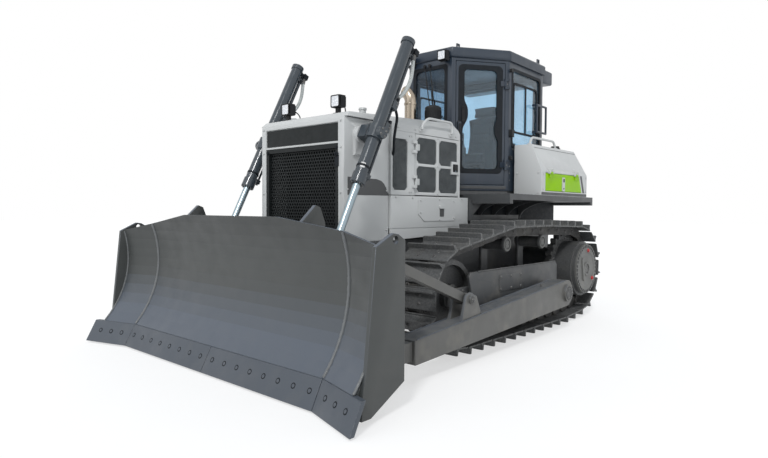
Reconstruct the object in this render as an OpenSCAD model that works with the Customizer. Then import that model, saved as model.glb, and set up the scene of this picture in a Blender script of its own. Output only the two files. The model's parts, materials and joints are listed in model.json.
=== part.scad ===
// Crawler bulldozer of the 17 tonne class with a semi-universal blade, full size, in millimetres.
// +X points forward, +Y to the machine's left, +Z up. Sizes along X are measured from the sprocket
// axle, heights from the ground under the shoe bars; place() then centres the machine on the origin.

/* [Tracks] */
// Distance between the track centre lines
gauge = 1880; // [1600:10:2200]
// Width of a track shoe
shoe_w = 510; // [400:10:760]
// Number of shoes in one track
shoe_count = 38; // [34:1:42]
// Height of the ground bar on a shoe
bar_h = 60; // [30:1:80]
// Thickness of a shoe plate
shoe_t = 14; // [8:1:24]
// Gap between two neighbouring shoe plates
shoe_gap = 7; // [2:1:20]
// Height of the track pins above a shoe plate
pin_h = 47; // [35:1:60]
// Height of the link rail above the track pins
rail_h = 48; // [35:1:60]
// Width of one link rail
rail_w = 44; // [30:1:60]
// Distance between the middles of the two link rails
rail_span = 170; // [130:1:200]

/* [Running gear] */
// Height of the sprocket axle
sprocket_z = 596; // [560:1:700]
// Pitch radius of the sprocket
sprocket_r = 441; // [400:1:480]
// Number of sprocket teeth
sprocket_teeth = 27; // [21:2:31]
// Width of the sprocket teeth
tooth_w = 72; // [50:1:90]
// Radius of the final drive hub
hub_r = 321; // [250:1:350]
// Distance of the hub face from the middle of the machine
hub_y = 1240; // [1200:1:1300]
// Distance of the idler axle in front of the sprocket axle
idler_x = 2500; // [2300:5:2700]
// Pin line radius at the idler
idler_r = 390; // [340:1:430]
// Distance of the rear carrier roller in front of the sprocket axle
carrier_rear_x = 840; // [700:5:1000]
// Distance of the front carrier roller in front of the sprocket axle
carrier_front_x = 1600; // [1400:5:1800]
// Height of the carrier rollers
carrier_z = 942; // [900:1:980]
// Radius of a carrier roller
carrier_r = 58; // [45:1:62]
// Radius of a track roller
roller_r = 95; // [70:1:110]
// Number of track rollers on one side
roller_count = 7; // [5:1:8]
// Distance of the rear bend of the track on the ground in front of the sprocket axle
roller_x = 430; // [400:5:600]
// Distance of the first track roller in front of that bend
roller_lead = 30; // [10:5:60]
// Distance between track rollers
roller_step = 275; // [240:1:300]
// Width of a track roller over its flanges
roller_w = 224; // [180:1:240]

/* [Track frame] */
// Width of the track frame beam
beam_w = 300; // [240:5:340]
// Height of the underside of the track frame beam
beam_z = 372; // [365:1:420]
// Height of the top of the track frame beam
beam_top = 660; // [600:5:720]
// Front end of the track frame beam
beam_front = 2130; // [2000:5:2140]
// Rear end of the track frame beam
beam_rear = 470; // [460:5:600]
// Distance of the outer guard face from the middle of the machine
guard_y = 1150; // [1120:5:1170]
// Thickness of a guard plate
guard_t = 30; // [15:1:40]
// Top of the outer guard
guard_top = 722; // [680:1:760]
// Bottom of the outer guard
guard_z = 235; // [200:1:300]
// Front end of the outer guard
guard_front = 2371; // [2250:1:2400]
// Rear end of the outer guard
guard_rear = 600; // [560:1:700]

/* [Main frame] */
// Half width of the main frame
frame_half = 480; // [420:5:560]
// Ground clearance under the belly plate
belly_z = 430; // [350:5:500]
// Top of the main frame rails
rail_top = 1000; // [900:5:1050]
// Front end of the main frame
frame_front = 3240; // [3100:5:3300]
// Rear end of the rear case
case_rear = -560; // [-620:5:-500]
// Front end of the rear case
case_front = 420; // [300:5:600]
// Top of the rear case
case_top = 1180; // [1100:5:1250]
// Width of a main frame rail
frame_rail_w = 170; // [120:5:240]
// Thickness of the belly plate
belly_t = 30; // [15:1:40]
// Radius of the rear axle housings
axle_r = 235; // [180:5:260]
// Height of the feet under the radiator shell
foot_h = 60; // [40:1:100]
// Height of the front cross tie between the main frame and the track frames
tie_h = 120; // [80:5:160]
// Distance of the front cross tie in front of the sprocket axle
tie_x = 1750; // [1500:10:1900]

/* [Engine] */
// Rear end of the engine block
engine_rear = 1760; // [1740:5:1850]
// Length of the engine block
engine_l = 1000; // [800:5:1010]
// Width of the engine block
engine_w = 700; // [500:5:760]
// Height of the engine block
engine_h = 880; // [700:5:930]

/* [Drawbar] */
// Rear end of the drawbar
drawbar_rear = -700; // [-760:5:-680]
// Height of the middle of the drawbar
drawbar_z = 640; // [560:5:700]
// Width of the drawbar
drawbar_w = 220; // [160:5:260]
// Height of the drawbar
drawbar_h = 190; // [150:5:240]
// Opening of the drawbar jaw
jaw_gap = 90; // [60:1:120]
// Diameter of the drawbar pin hole
drawbar_bore = 51; // [40:0.5:60]

/* [Blade] */
// Distance from the middle to a blade end plate
blade_half = 1700; // [1500:10:1900]
// Distance from the middle to the fold of a blade wing
fold_y = 1288; // [1100:10:1400]
// Angle of a blade wing
wing_angle = 17.3; // [5:0.1:25]
// Radius of the hollow blade face
face_r = 895; // [700:5:1200]
// Deepest point of the hollow blade face along X
face_x = 4022; // [3950:1:4100]
// Height of the deepest point of the blade face
face_z = 802; // [700:1:900]
// Thickness of the blade face plate
face_t = 25; // [12:1:40]
// Top of the blade in the middle
blade_top = 1224; // [1100:2:1300]
// Half width of the level middle of the blade top
blade_level = 633; // [400:1:900]
// Top of the blade at the folds
fold_top = 1136; // [1050:2:1200]
// Top of the blade at the end plates
end_top = 1058; // [1000:2:1150]
// Height of the lower edge of the blade face
face_low = 200; // [150:1:230]
// Clearance of the cutting edge above the ground
edge_z = 14; // [5:1:60]
// Slope of the cutting edge against the upright
edge_slope = 27; // [20:1:45]
// Step of the cutting edge in front of the blade face
edge_step = 8; // [0:1:15]
// Thickness of the cutting edge
edge_t = 30; // [16:1:40]
// How far an end bit stands out past the blade end plate
bit_over = 76; // [20:1:120]
// Gap between neighbouring edge pieces
edge_gap = 5; // [2:1:10]
// Thickness of a blade end plate
end_t = 30; // [15:1:40]
// Depth of an end plate behind the deepest point of the face
end_depth = 210; // [160:1:260]
// Reach of an end plate in front of that point at its foot
end_reach = 178; // [120:1:220]
// Reach of an end plate in front of that point at its top
end_top_reach = 65; // [30:1:120]
// Height of an end plate's foot above the ground
end_low = 40; // [20:1:80]
// Height of the lifting horn on an end plate
horn_h = 78; // [40:1:120]
// Diameter of the lifting eye in an end plate
lift_eye_d = 50; // [30:1:60]
// Underside of the upper beam behind the blade
back_beam_z = 900; // [820:5:960]
// Height of the upper beam
back_beam_h = 110; // [80:1:160]
// Depth of the upper beam
back_beam_d = 130; // [90:1:180]
// Height of the lower beam
low_beam_h = 255; // [180:1:300]
// Depth of the lower beam
low_beam_d = 70; // [40:1:120]
// Height of the fins above the top of the blade
fin_h = 85; // [40:1:140]
// Thickness of the fins and ears behind the blade
ear_t = 34; // [20:1:45]

/* [Push arms] */
// Distance of the arm pivot in front of the sprocket axle
arm_pivot_x = 930; // [800:5:1000]
// Height of the arm pivot
arm_pivot_z = 420; // [380:5:460]
// Radius of the rear end of a push arm
arm_rear_r = 135; // [110:1:160]
// Distance of the arm's outer face from the middle of the machine
arm_y = 1420; // [1400:5:1460]
// Width of a push arm
arm_w = 170; // [120:5:200]
// Front end of the push arm box
arm_front = 3485; // [3350:5:3550]
// Top of the push arm at its front end
arm_front_top = 335; // [300:1:380]
// Bottom of the push arm at its front end
arm_front_low = 153; // [120:1:180]
// Radius of the arm trunnion
trunnion_r = 60; // [45:1:75]
// Height of the pin that joins arm and blade
arm_pin_z = 250; // [220:1:280]
// Distance of that pin in front of the sprocket axle
arm_pin_x = 3700; // [3650:5:3760]
// Radius of that pin
arm_pin_r = 35; // [25:1:45]
// Front end of the brace lug on a push arm
lug_front = 2870; // [2800:5:2950]
// Rear end of the brace lug on a push arm
lug_rear = 2560; // [2450:5:2650]
// Top of the brace lug
lug_top = 610; // [560:5:660]
// Thickness of the brace lug plates
lug_t = 30; // [20:1:40]
// Depth of the brace bar
brace_h = 105; // [80:1:130]
// Width of the brace bar
brace_w = 90; // [60:1:110]
// Distance of the brace's middle plane from the middle of the machine
brace_y = 1335; // [1300:1:1360]

/* [Lift cylinders] */
// Distance of a cylinder's middle plane from the middle of the machine
lift_y = 745; // [720:1:800]
// Distance of the cylinder trunnions in front of the sprocket axle
lift_x = 3186; // [3100:1:3260]
// Height of the cylinder trunnions
lift_z = 1910; // [1850:1:1950]
// Distance of the rod eye in front of the sprocket axle
eye_x = 3800; // [3760:1:3840]
// Height of the rod eye
eye_z = 680; // [620:1:740]
// Outer radius of a cylinder barrel
barrel_r = 54; // [45:1:65]
// Length of a barrel above its trunnions
barrel_up = 955; // [850:5:1000]
// Length of a barrel below its trunnions
barrel_down = 472; // [400:1:520]
// Radius of a cylinder rod
rod_r = 31; // [25:0.5:40]
// Length of the rod from its eye
rod_l = 1330; // [1250:5:1400]
// Radius of a rod eye
eye_r = 62; // [50:1:70]
// Width of a rod eye
eye_w = 62; // [50:1:70]
// Radius of the cylinder trunnion pins
yoke_pin_r = 35; // [25:1:45]
// Radius of the collar that carries the trunnion pins
collar_r = 72; // [60:1:85]
// Length of the trunnion block between a collar and its boss
yoke_l = 58; // [30:1:70]
// Width of the trunnion block
yoke_w = 128; // [90:1:150]
// Depth of the bracket under the boss on the radiator shell
boss_drop = 175; // [120:1:220]
// Radius of the oil tube along a barrel
oil_tube_r = 11; // [8:0.5:16]
// Radius of the hose sleeve above the valve block
oil_hose_r = 17; // [12:0.5:22]
// Size of the valve block on a barrel
valve_w = 78; // [50:1:100]

/* [Radiator] */
// Front face of the radiator shell
shell_front = 3365; // [3300:1:3450]
// Rear edge of the radiator shell
shell_rear = 2790; // [2700:1:2900]
// Half width of the radiator shell
shell_half = 557; // [520:1:600]
// Top of the radiator shell
shell_top = 2056; // [2000:1:2100]
// Wall of the radiator shell
shell_wall = 68; // [40:1:90]
// Top of the grille opening
grille_top = 1835; // [1750:1:1880]
// Bottom of the grille opening
grille_low = 1090; // [1040:1:1200]
// Thickness of the grille plate
grille_t = 12; // [5:1:25]
// Spacing of the grille holes
hole_step = 46; // [38:1:120]
// Diameter of a grille hole across its corners
hole_d = 33; // [24:1:60]
// Depth of the radiator core
core_t = 150; // [100:5:200]

/* [Hood] */
// Half width of the hood
hood_half = 580; // [540:1:620]
// Height of the seam under the hood top
seam_z = 2000; // [1950:1:2030]
// Top of the hood at the radiator
hood_front_top = 2100; // [2060:1:2120]
// Top of the hood at the cab
hood_rear_top = 2186; // [2140:1:2220]
// Rear end of the hood
hood_rear = 1700; // [1650:1:1720]
// Rear end of the lower side panels
panel_rear = 1545; // [1500:1:1600]
// Width of the sloping hood shoulder
shoulder_w = 110; // [60:1:160]
// Wall of the hood and its panels
panel_t = 32; // [20:1:45]
// Height of the seam under the side doors
door_seam_z = 1415; // [1380:1:1450]
// Bottom of the lower side panels
panel_low = 1110; // [1080:1:1150]
// Front edge of the side doors, at their hinges
door_hinge_x = 2449; // [2400:1:2500]
// Rear edge of the side doors
door_rear_x = 1730; // [1650:1:1780]
// Width of the brackets under the lower side panels
panel_foot = 60; // [40:1:100]
// Depth of the mesh windows
mesh_d = 14; // [6:1:20]
// Margin round the mesh windows
mesh_margin = 42; // [25:1:60]
// Clearance round a door or lid
door_gap = 5; // [3:0.5:8]

/* [Exhaust and intake] */
// Distance of the exhaust pipe in front of the sprocket axle
exhaust_x = 1880; // [1700:5:2100]
// Distance of the exhaust pipe from the middle, to the left
exhaust_y = 60; // [-200:5:200]
// Radius of the exhaust pipe
exhaust_r = 64; // [45:1:75]
// Wall of the exhaust pipe
exhaust_wall = 4; // [2:0.5:6]
// Length of the straight exhaust pipe above the hood
exhaust_h = 255; // [100:5:400]
// Bend radius of the exhaust pipe
bend_r = 120; // [90:5:200]
// Radius of the air pre-cleaner
cleaner_r = 84; // [60:1:100]
// Height of the air pre-cleaner
cleaner_h = 170; // [120:5:240]
// Distance of the pre-cleaner in front of the sprocket axle
cleaner_x = 1760; // [1650:5:1900]
// Distance of the pre-cleaner from the middle, to the left
cleaner_y = 270; // [150:5:350]

/* [Cab] */
// Front face of the cab
cab_front = 1460; // [1420:1:1500]
// Half width of the cab front
cab_front_half = 300; // [250:5:400]
// Where the slanted door faces end, in front of the sprocket axle
cab_bend_x = 905; // [800:5:1000]
// Half width of the cab at the end of the door faces
cab_half = 690; // [620:5:720]
// Rear face of the cab
cab_rear = 30; // [0:5:100]
// Height of the cab floor
cab_floor_z = 1500; // [1450:5:1540]
// Thickness of the cab floor
floor_t = 50; // [30:1:80]
// Underside of the roof
roof_z = 2955; // [2850:5:3000]
// Thickness of the roof
roof_t = 115; // [60:1:160]
// Overhang of the roof
roof_lip = 22; // [0:1:60]
// Wall of the cab
cab_wall = 60; // [40:1:80]
// Width of a cab pillar
pillar_w = 75; // [50:1:120]
// Height of the window sills
sill_z = 2000; // [1900:5:2100]
// Bottom of the windshield
windshield_z = 1720; // [1650:5:1900]
// Height of the beam above the windows
header_h = 75; // [50:1:120]
// Thickness of the window glass
glass_t = 8; // [5:0.5:12]
// Length of the grab loop at the rear pillar
loop_l = 250; // [150:5:320]
// Height of the grab loop
loop_h = 320; // [200:5:400]
// Height of the foot of the grab loop
loop_z = 2225; // [2100:5:2400]
// Distance of the grab loop from the rear corner of the cab, to its front
loop_in = 270; // [150:5:330]
// Distance of the grab loop from the cab wall
loop_off = 55; // [40:1:80]
// Height of the lifting eyes on the roof
roof_eye_h = 55; // [30:1:90]
// Length of the air conditioner box behind the roof
roof_box_l = 330; // [200:5:400]
// Height of the air conditioner box
roof_box_h = 190; // [120:5:260]

/* [Seat and controls] */
// Distance of the seat's middle in front of the sprocket axle
seat_x = 520; // [450:5:600]
// Width of the seat
seat_w = 520; // [420:5:560]
// Length of the seat cushion
seat_l = 520; // [420:5:560]
// Height of the seat's base
seat_h = 300; // [220:5:360]
// Thickness of the seat cushion
cushion_t = 130; // [80:1:160]
// Height of the backrest
backrest_h = 650; // [500:5:760]
// Rake of the backrest
backrest_rake = 50; // [0:1:120]
// Length of a side console
console_l = 530; // [400:5:600]
// Width of a side console
console_w = 120; // [80:1:140]
// Height of a side console
console_h = 560; // [450:5:620]
// Radius of a control lever
lever_r = 22; // [14:0.5:28]
// Height of a control lever
lever_h = 150; // [100:1:200]
// Length of the dashboard
dash_l = 300; // [180:5:340]
// Width of the dashboard
dash_w = 440; // [300:5:460]
// Height of the dashboard
dash_h = 620; // [400:5:700]

/* [Fenders and tanks] */
// Distance of the fender edge from the middle of the machine
fender_y = 1050; // [1000:5:1150]
// Height of the fender plate
fender_z = 1390; // [1360:1:1420]
// Thickness of the fender plate
fender_t = 62; // [40:1:80]
// Front end of the fenders
fender_front = 1490; // [1300:5:1530]
// Rear end of the fenders
fender_rear = -620; // [-660:5:-500]
// Width of the ribs under the fenders
rib_w = 60; // [40:1:90]
// Thickness of the ribs and skirts under the fenders
rib_t = 40; // [20:1:60]
// Front end of the skirts under the cab
skirt_front = 1535; // [1500:5:1560]
// Length of the skirts
skirt_l = 1050; // [800:5:1200]
// Distance of the skirts from the middle of the machine
skirt_y = 600; // [560:1:640]
// Number of curved gussets under one fender
gusset_count = 4; // [2:1:6]
// Distance between the gussets
gusset_step = 300; // [200:5:380]
// Front end of a side tank
tank_front = 810; // [760:5:840]
// Rear end of a side tank
tank_rear = -424; // [-500:1:-350]
// Distance of a side tank's inner wall from the middle of the machine
tank_inner = 715; // [705:1:740]
// Height of a side tank's upright outer wall, up to its crease
tank_wall_h = 268; // [200:1:330]
// Height of the leaning part of that wall above the crease
tank_lean_h = 300; // [220:1:360]
// How far a side tank's outer wall leans in above the crease
tank_lean = 120; // [40:1:180]
// Slope of a side tank's rear end, along X
tank_rake = 130; // [0:1:250]
// Thickness of the lid in a side tank's outer wall
lid_t = 26; // [16:1:40]
// Frame of the tank wall in front of the lid
lid_front_frame = 100; // [50:1:160]
// Frame of the tank wall behind the lid
lid_rear_frame = 152; // [80:1:220]
// Frame of the tank wall below the lid
lid_sill = 48; // [20:1:80]
// Slope of the lid's rear end
lid_slant = 83; // [0:1:140]
// Rear end of the fuel tank behind the cab
fuel_rear = -580; // [-640:5:-450]
// Top of the fuel tank behind the cab
fuel_top = 1830; // [1700:5:1900]

/* [Fittings] */
// Width of a front work lamp
lamp_w = 106; // [80:1:140]
// Depth of a front work lamp
lamp_d = 70; // [40:1:90]
// Distance of a front lamp from the middle of the machine
lamp_y = 338; // [250:1:420]
// Distance of the front lamps in front of the sprocket axle
lamp_x = 3253; // [3150:1:3300]
// Height of the middle of the front lamps
lamp_z = 2215; // [2180:1:2260]
// Height of the middle of the roof lamps above the underside of the roof
roof_lamp_h = 12; // [-20:1:40]
// Distance of a roof lamp from the middle of the machine
roof_lamp_y = 233; // [150:1:300]
// Radius of a handrail tube
rail_r = 13; // [10:0.5:20]
// Height of the handrails above what carries them
handrail_h = 85; // [60:1:140]
// Length of the handrail on the hood
hood_rail_l = 490; // [300:5:560]
// Distance of that handrail from the rear edge of the side door
hood_rail_in = 150; // [60:5:240]
// Length of the handrail on a side tank
tank_rail_l = 640; // [400:5:760]
// Distance of that handrail from the front of the tank
tank_rail_in = 24; // [16:1:120]
// Radial clearance of a pin in its bore
fit = 0.05; // [0.01:0.01:0.1]
// Gap between curved faces that meet without moving
seat_gap = 0.3; // [0.1:0.1:0.5]
// Side clearance of moving pieces
side_gap = 6; // [5:0.5:12]

/* [Latches] */
// Width of a latch plate
latch_w = 62; // [40:1:90]
// Height of a latch plate
latch_h = 130; // [80:1:160]
// Thickness of a latch plate
latch_t = 10; // [5:1:20]

/* [Hinges] */
// Radius of a hinge pin
hinge_pin_r = 7; // [5:0.5:10]
// Outer radius of a hinge sleeve
sleeve_r = 13; // [10:0.5:18]
// Length of a hinge sleeve
sleeve_l = 60; // [40:1:90]
// Distance of a hinge axis in front of the face it stands on
hinge_off = 16; // [14:0.5:24]
// Radius of the hinge lugs round the pin
lug_r = 10; // [8:0.5:11]
// Length of a hinge leaf
leaf_l = 55; // [35:1:80]
// Height of the lug at each end of a hinge sleeve
hinge_lug = 28; // [20:1:40]
// End play of a hinge sleeve
hinge_play = 0.5; // [0.2:0.1:1]

/* [Hidden] */

grey_light = [0.72, 0.71, 0.68];
grey_dark = [0.27, 0.29, 0.31];
black = [0.08, 0.08, 0.09];
steel = [0.45, 0.42, 0.38];
chrome = [0.85, 0.86, 0.88];
green = [0.57, 0.78, 0.10];
glass_tint = [0.55, 0.68, 0.72, 0.5];
lamp_white = [0.95, 0.95, 0.97];
fine = 48;
over = 2;

track_y = gauge / 2;
ground_pin = bar_h + shoe_t + pin_h;
ground_rail = ground_pin + rail_h;
idler_z = ground_pin + idler_r;
roller_z = ground_rail + roller_r + seat_gap;
carrier_pin_r = carrier_r + rail_h + 14;
wing_dx = tan(wing_angle) * (blade_half - fold_y);
face_centre_x = face_x + face_r;
edge_foot = [face_at(face_low) + edge_step + (face_low - edge_z) * tan(edge_slope), edge_z];
bit_half = blade_half + bit_over;
bit_tip_x = edge_foot[0] + tan(wing_angle) * (bit_half - fold_y);
front_x = bit_tip_x;
mid_x = (front_x + drawbar_rear) / 2;

function face_at(z) = face_centre_x - sqrt(face_r * face_r - (z - face_z) * (z - face_z));
function unit(a) = [cos(a), sin(a)];

module place() translate([-mid_x, 0, 0]) children();
module both() {
    children();
    mirror([0, 1, 0]) children();
}
module side_plate(outline, y0, y1)
    translate([0, y1, 0]) rotate([90, 0, 0]) linear_extrude(y1 - y0) polygon(outline);
module front_plate(outline, x0, x1)
    translate([x0, 0, 0]) rotate([90, 0, 90]) linear_extrude(x1 - x0) polygon(outline);
module plan_plate(outline, z0, z1)
    translate([0, 0, z0]) linear_extrude(z1 - z0) polygon(outline);
module block(x0, x1, y0, y1, z0, z1)
    translate([x0, y0, z0]) cube([x1 - x0, y1 - y0, z1 - z0]);
module cross_pin(x, z, r, y0, y1)
    translate([x, y1, z]) rotate([90, 0, 0]) cylinder(r = r, h = y1 - y0, $fn = fine);

// A hinge about local Z: the sleeve and its leaf belong to the door at -x, the pin and its lugs to the
// frame at +x. The face that both stand on lies at y = hinge_off.
module hinge_sleeve() difference() {
    union() {
        cylinder(r = sleeve_r, h = sleeve_l, center = true, $fn = fine);
        translate([-leaf_l, 3, -sleeve_l / 2]) cube([leaf_l - 4, hinge_off - 3 + over, sleeve_l]);
    }
    cylinder(r = hinge_pin_r + fit, h = sleeve_l + 2 * over, center = true, $fn = fine);
}
module hinge_frame(grip = over) {
    cylinder(r = hinge_pin_r, h = sleeve_l + 2 * hinge_lug, center = true, $fn = fine);
    for (z = [sleeve_l / 2 + hinge_play, -sleeve_l / 2 - hinge_play - hinge_lug]) translate([0, 0, z]) {
        cylinder(r = lug_r, h = hinge_lug, $fn = fine);
        translate([0, -lug_r, 0]) cube([leaf_l - lug_r, 2 * lug_r, hinge_lug]);
        translate([door_gap, -lug_r, 0])
            cube([leaf_l - lug_r - door_gap, hinge_off + lug_r + grip, hinge_lug]);
    }
}

// The track follows a belt round its wheels at the pin line: [x, z, radius] of each, from the rear
// track roller forward along the ground and back over the top.
wheels = [
    [roller_x, roller_z, roller_z - ground_pin],
    [idler_x, idler_z, idler_r],
    [carrier_front_x, carrier_z, carrier_pin_r],
    [carrier_rear_x, carrier_z, carrier_pin_r],
    [0, sprocket_z, sprocket_r]
];
wheel_n = len(wheels);
function next(i) = (i + 1) % wheel_n;
function span_v(i) = [wheels[next(i)][0] - wheels[i][0], wheels[next(i)][1] - wheels[i][1]];
function normal_a(i) = let (d = span_v(i)) atan2(d[1], d[0]) - 90
    + asin((wheels[i][2] - wheels[next(i)][2]) / norm(d));
function wrap(a) = a < 0 ? a + 360 : a >= 360 ? a - 360 : a;
normals = [for (i = [0 : wheel_n - 1]) normal_a(i)];
arcs = [for (i = [0 : wheel_n - 1]) wrap(normals[i] - normals[(i + wheel_n - 1) % wheel_n])];
arc_l = [for (i = [0 : wheel_n - 1]) arcs[i] * PI / 180 * wheels[i][2]];
line_l = [for (i = [0 : wheel_n - 1]) let (d = span_v(i), r = wheels[i][2] - wheels[next(i)][2])
    sqrt(d * d - r * r)];
function rim(i, a) = [wheels[i][0], wheels[i][1]] + wheels[i][2] * unit(a);
function belt(s, i = 0) = s <= arc_l[i]
    ? rim(i, normals[(i + wheel_n - 1) % wheel_n] + s / wheels[i][2] * 180 / PI)
    : s <= arc_l[i] + line_l[i]
        ? rim(i, normals[i]) + (s - arc_l[i]) * unit(normals[i] + 90)
        : i + 1 < wheel_n ? belt(s - arc_l[i] - line_l[i], i + 1) : rim(0, normals[wheel_n - 1]);
function total(v, i = 0) = i < len(v) ? v[i] + total(v, i + 1) : 0;
belt_l = total(arc_l) + total(line_l);
shoe_pitch = belt_l / shoe_count;
pins = [for (k = [0 : shoe_count - 1]) belt(k * shoe_pitch + arc_l[0])];

module on_link(k) {
    a = pins[k];
    b = pins[(k + 1) % shoe_count];
    d = b - a;
    translate((a + b) / 2) rotate(atan2(d[1], d[0])) children();
}

// A shoe in section: the plate and its ground bar, with the outside of the track at -y.
module shoe_2d() {
    half = (shoe_pitch - shoe_gap) / 2;
    outside = pin_h + shoe_t;
    bar_x = half - 34;
    polygon([
        [-half, -pin_h], [half, -pin_h], [half, -outside], [bar_x + 14, -outside],
        [bar_x + 8, -outside - bar_h], [bar_x - 8, -outside - bar_h], [bar_x - 18, -outside],
        [-half, -outside]
    ]);
}
// The two link rails as closed bands through the pins; each reaches a little into the shoe plates.
function pin(k) = pins[(k + shoe_count) % shoe_count];
function pin_out(k) = let (d = pin(k + 1) - pin(k - 1)) [d[1], -d[0]] / norm(d);
plate_sink = 6;
band_points = concat(
    [for (k = [0 : shoe_count - 1]) pin(k) + (pin_h + plate_sink) * pin_out(k)],
    [for (k = [0 : shoe_count - 1]) pin(k) - rail_h * pin_out(k)]
);
module link_band() polygon(band_points, paths = [
    [for (k = [0 : shoe_count - 1]) k], [for (k = [0 : shoe_count - 1]) shoe_count + k]
]);
module track() color(steel) {
    translate([0, track_y + shoe_w / 2, 0]) rotate([90, 0, 0]) linear_extrude(shoe_w)
        for (k = [0 : shoe_count - 1]) on_link(k) shoe_2d();
    for (side = [-1, 1])
        translate([0, track_y + side * rail_span / 2 + rail_w / 2, 0]) rotate([90, 0, 0])
            linear_extrude(rail_w) link_band();
}
module track_left() place() track();
module track_right() place() mirror([0, 1, 0]) track();

tooth_in = sprocket_r - 42;
tooth_out = sprocket_r - 4;
module final_drive() {
    half_tooth = 180 / sprocket_teeth;
    color(steel) translate([0, track_y + tooth_w / 2, sprocket_z]) rotate([90, 0, 0])
        linear_extrude(tooth_w) difference() {
            union() {
                circle(r = tooth_in, $fn = fine * 2);
                for (k = [0 : sprocket_teeth - 1]) rotate(k * 2 * half_tooth)
                    polygon([
                        (tooth_in - over) * unit(-half_tooth * 0.62),
                        tooth_out * unit(-half_tooth * 0.3), tooth_out * unit(half_tooth * 0.3),
                        (tooth_in - over) * unit(half_tooth * 0.62)
                    ]);
            }
            circle(r = hub_r, $fn = fine * 2);
        }
    color(grey_dark) {
        cross_pin(0, sprocket_z, hub_r, track_y - tooth_w / 2 - 20, hub_y - 55);
        cross_pin(0, sprocket_z, hub_r - 28, hub_y - 60, hub_y - 18);
        cross_pin(0, sprocket_z, hub_r - 95, hub_y - 20, hub_y);
    }
}
module final_drives() place() both() final_drive();

idler_rim = idler_r * cos(asin(shoe_pitch / 2 / idler_r)) - rail_h - 1;
idler_w = rail_span + rail_w;
fork_gap = 14;
module idler() {
    color(steel) difference() {
        union() {
            cross_pin(idler_x, idler_z, idler_rim, track_y - idler_w / 2, track_y + idler_w / 2);
            cross_pin(idler_x, idler_z, idler_rim + 20, track_y - 40, track_y + 40);
        }
        for (side = [-1, 1]) translate([0, side * (idler_w - 50) / 2, 0])
            difference() {
                cross_pin(idler_x, idler_z, idler_rim - 45, track_y - 30, track_y + 30);
                cross_pin(idler_x, idler_z, 110, track_y - 35, track_y + 35);
            }
    }
    color(steel) cross_pin(idler_x, idler_z, 60 - seat_gap, track_y - idler_w / 2 - 60,
        track_y + idler_w / 2 + 60);
}
module idlers() place() both() idler();

module track_roller(x) {
    half = roller_w / 2;
    color(steel) {
        cross_pin(x, roller_z, roller_r, track_y - half, track_y + half);
        cross_pin(x, roller_z, roller_r - 50, beam_y0 + guard_t + seat_gap, guard_y - guard_t - seat_gap);
    }
}
carrier_post = 34;
module rollers() place() both() {
    for (k = [0 : roller_count - 1]) track_roller(roller_x + roller_lead + k * roller_step);
    for (x = [carrier_rear_x, carrier_front_x]) color(steel) {
        cross_pin(x, carrier_z, carrier_r, track_y - roller_w / 2, track_y + roller_w / 2);
        cross_pin(x, carrier_z, carrier_r - 14, track_y - roller_w / 2 - 60, track_y + roller_w / 2 + 8);
    }
}

beam_y0 = track_y - beam_w / 2;
beam_y1 = track_y + beam_w / 2;
fork_y = idler_w / 2 + fork_gap;
module track_frame() color(grey_dark) {
    difference() {
        union() {
            side_plate([
                [beam_rear, beam_z + 60], [beam_rear + 90, beam_z], [beam_front, beam_z],
                [beam_front, beam_top], [beam_rear + 60, beam_top], [beam_rear, beam_top - 60]
            ], beam_y0, beam_y1);
            // Outer guard with the trunnion of the push arm
            side_plate([
                [guard_rear, guard_z + 60], [guard_rear + 60, guard_z], [guard_front - 60, guard_z],
                [guard_front - 50, 505], [guard_front, guard_top - 40], [guard_front - 30, guard_top],
                [guard_rear + 40, guard_top], [guard_rear, guard_top - 40]
            ], guard_y - guard_t, guard_y);
            block(guard_rear + 80, beam_front, beam_y1 - over, guard_y - guard_t + over,
                beam_z + 40, guard_top - 60);
            cross_pin(arm_pivot_x, arm_pivot_z, trunnion_r + 45, beam_y1 - over, guard_y + 40);
            cross_pin(arm_pivot_x, arm_pivot_z, trunnion_r, guard_y, arm_y - 30);
            // Inner guard
            block(guard_rear, guard_front - 200, beam_y0, beam_y0 + guard_t, guard_z, beam_z + over);
            // Fork that carries the idler
            for (side = [-1, 1]) translate([0, track_y + side * (fork_y + 18) - 18, 0])
                block(beam_front - over, idler_x + 90, 0, 36, idler_z - 75, idler_z + 75);
            // Posts of the carrier rollers
            for (x = [carrier_rear_x, carrier_front_x])
                block(x - 60, x + 60, beam_y0, beam_y0 + carrier_post, beam_top - over, carrier_z + 60);
        }
        cross_pin(idler_x, idler_z, 60, track_y - fork_y - 60, track_y + fork_y + 60);
        for (x = [carrier_rear_x, carrier_front_x])
            cross_pin(x, carrier_z, carrier_r - 14 + seat_gap, beam_y0 - over, beam_y0 + carrier_post + over);
    }
}
module track_frames() place() both() track_frame();

module main_frame() place() color(grey_dark) {
    both() {
        block(case_front - over, frame_front, frame_half - frame_rail_w, frame_half,
            belly_z + belly_t - over, rail_top);
        cross_pin(0, sprocket_z, axle_r, frame_half - over, track_y - tooth_w / 2 - 20);
        cross_pin(beam_rear + 150, beam_top - 140, 110, frame_half - over, beam_y0);
        block(tie_x, tie_x + 260, frame_half - over, beam_y0, beam_top - 60 - tie_h, beam_top - 60);
    }
    block(case_front - over, frame_front, -frame_half, frame_half, belly_z, belly_z + belly_t);
    side_plate([
        [case_rear, belly_z + 150], [case_rear + 120, belly_z], [case_front, belly_z],
        [case_front, case_top], [case_rear + 60, case_top], [case_rear, case_top - 80]
    ], -frame_half, frame_half);
    block(frame_front - frame_rail_w, frame_front, -frame_half + frame_rail_w - over,
        frame_half - frame_rail_w + over, belly_z, rail_top - tie_h);
    // Feet that the radiator shell stands on
    block(shell_rear, frame_front, -shell_half, shell_half, rail_top - foot_h, rail_top);
}

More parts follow.
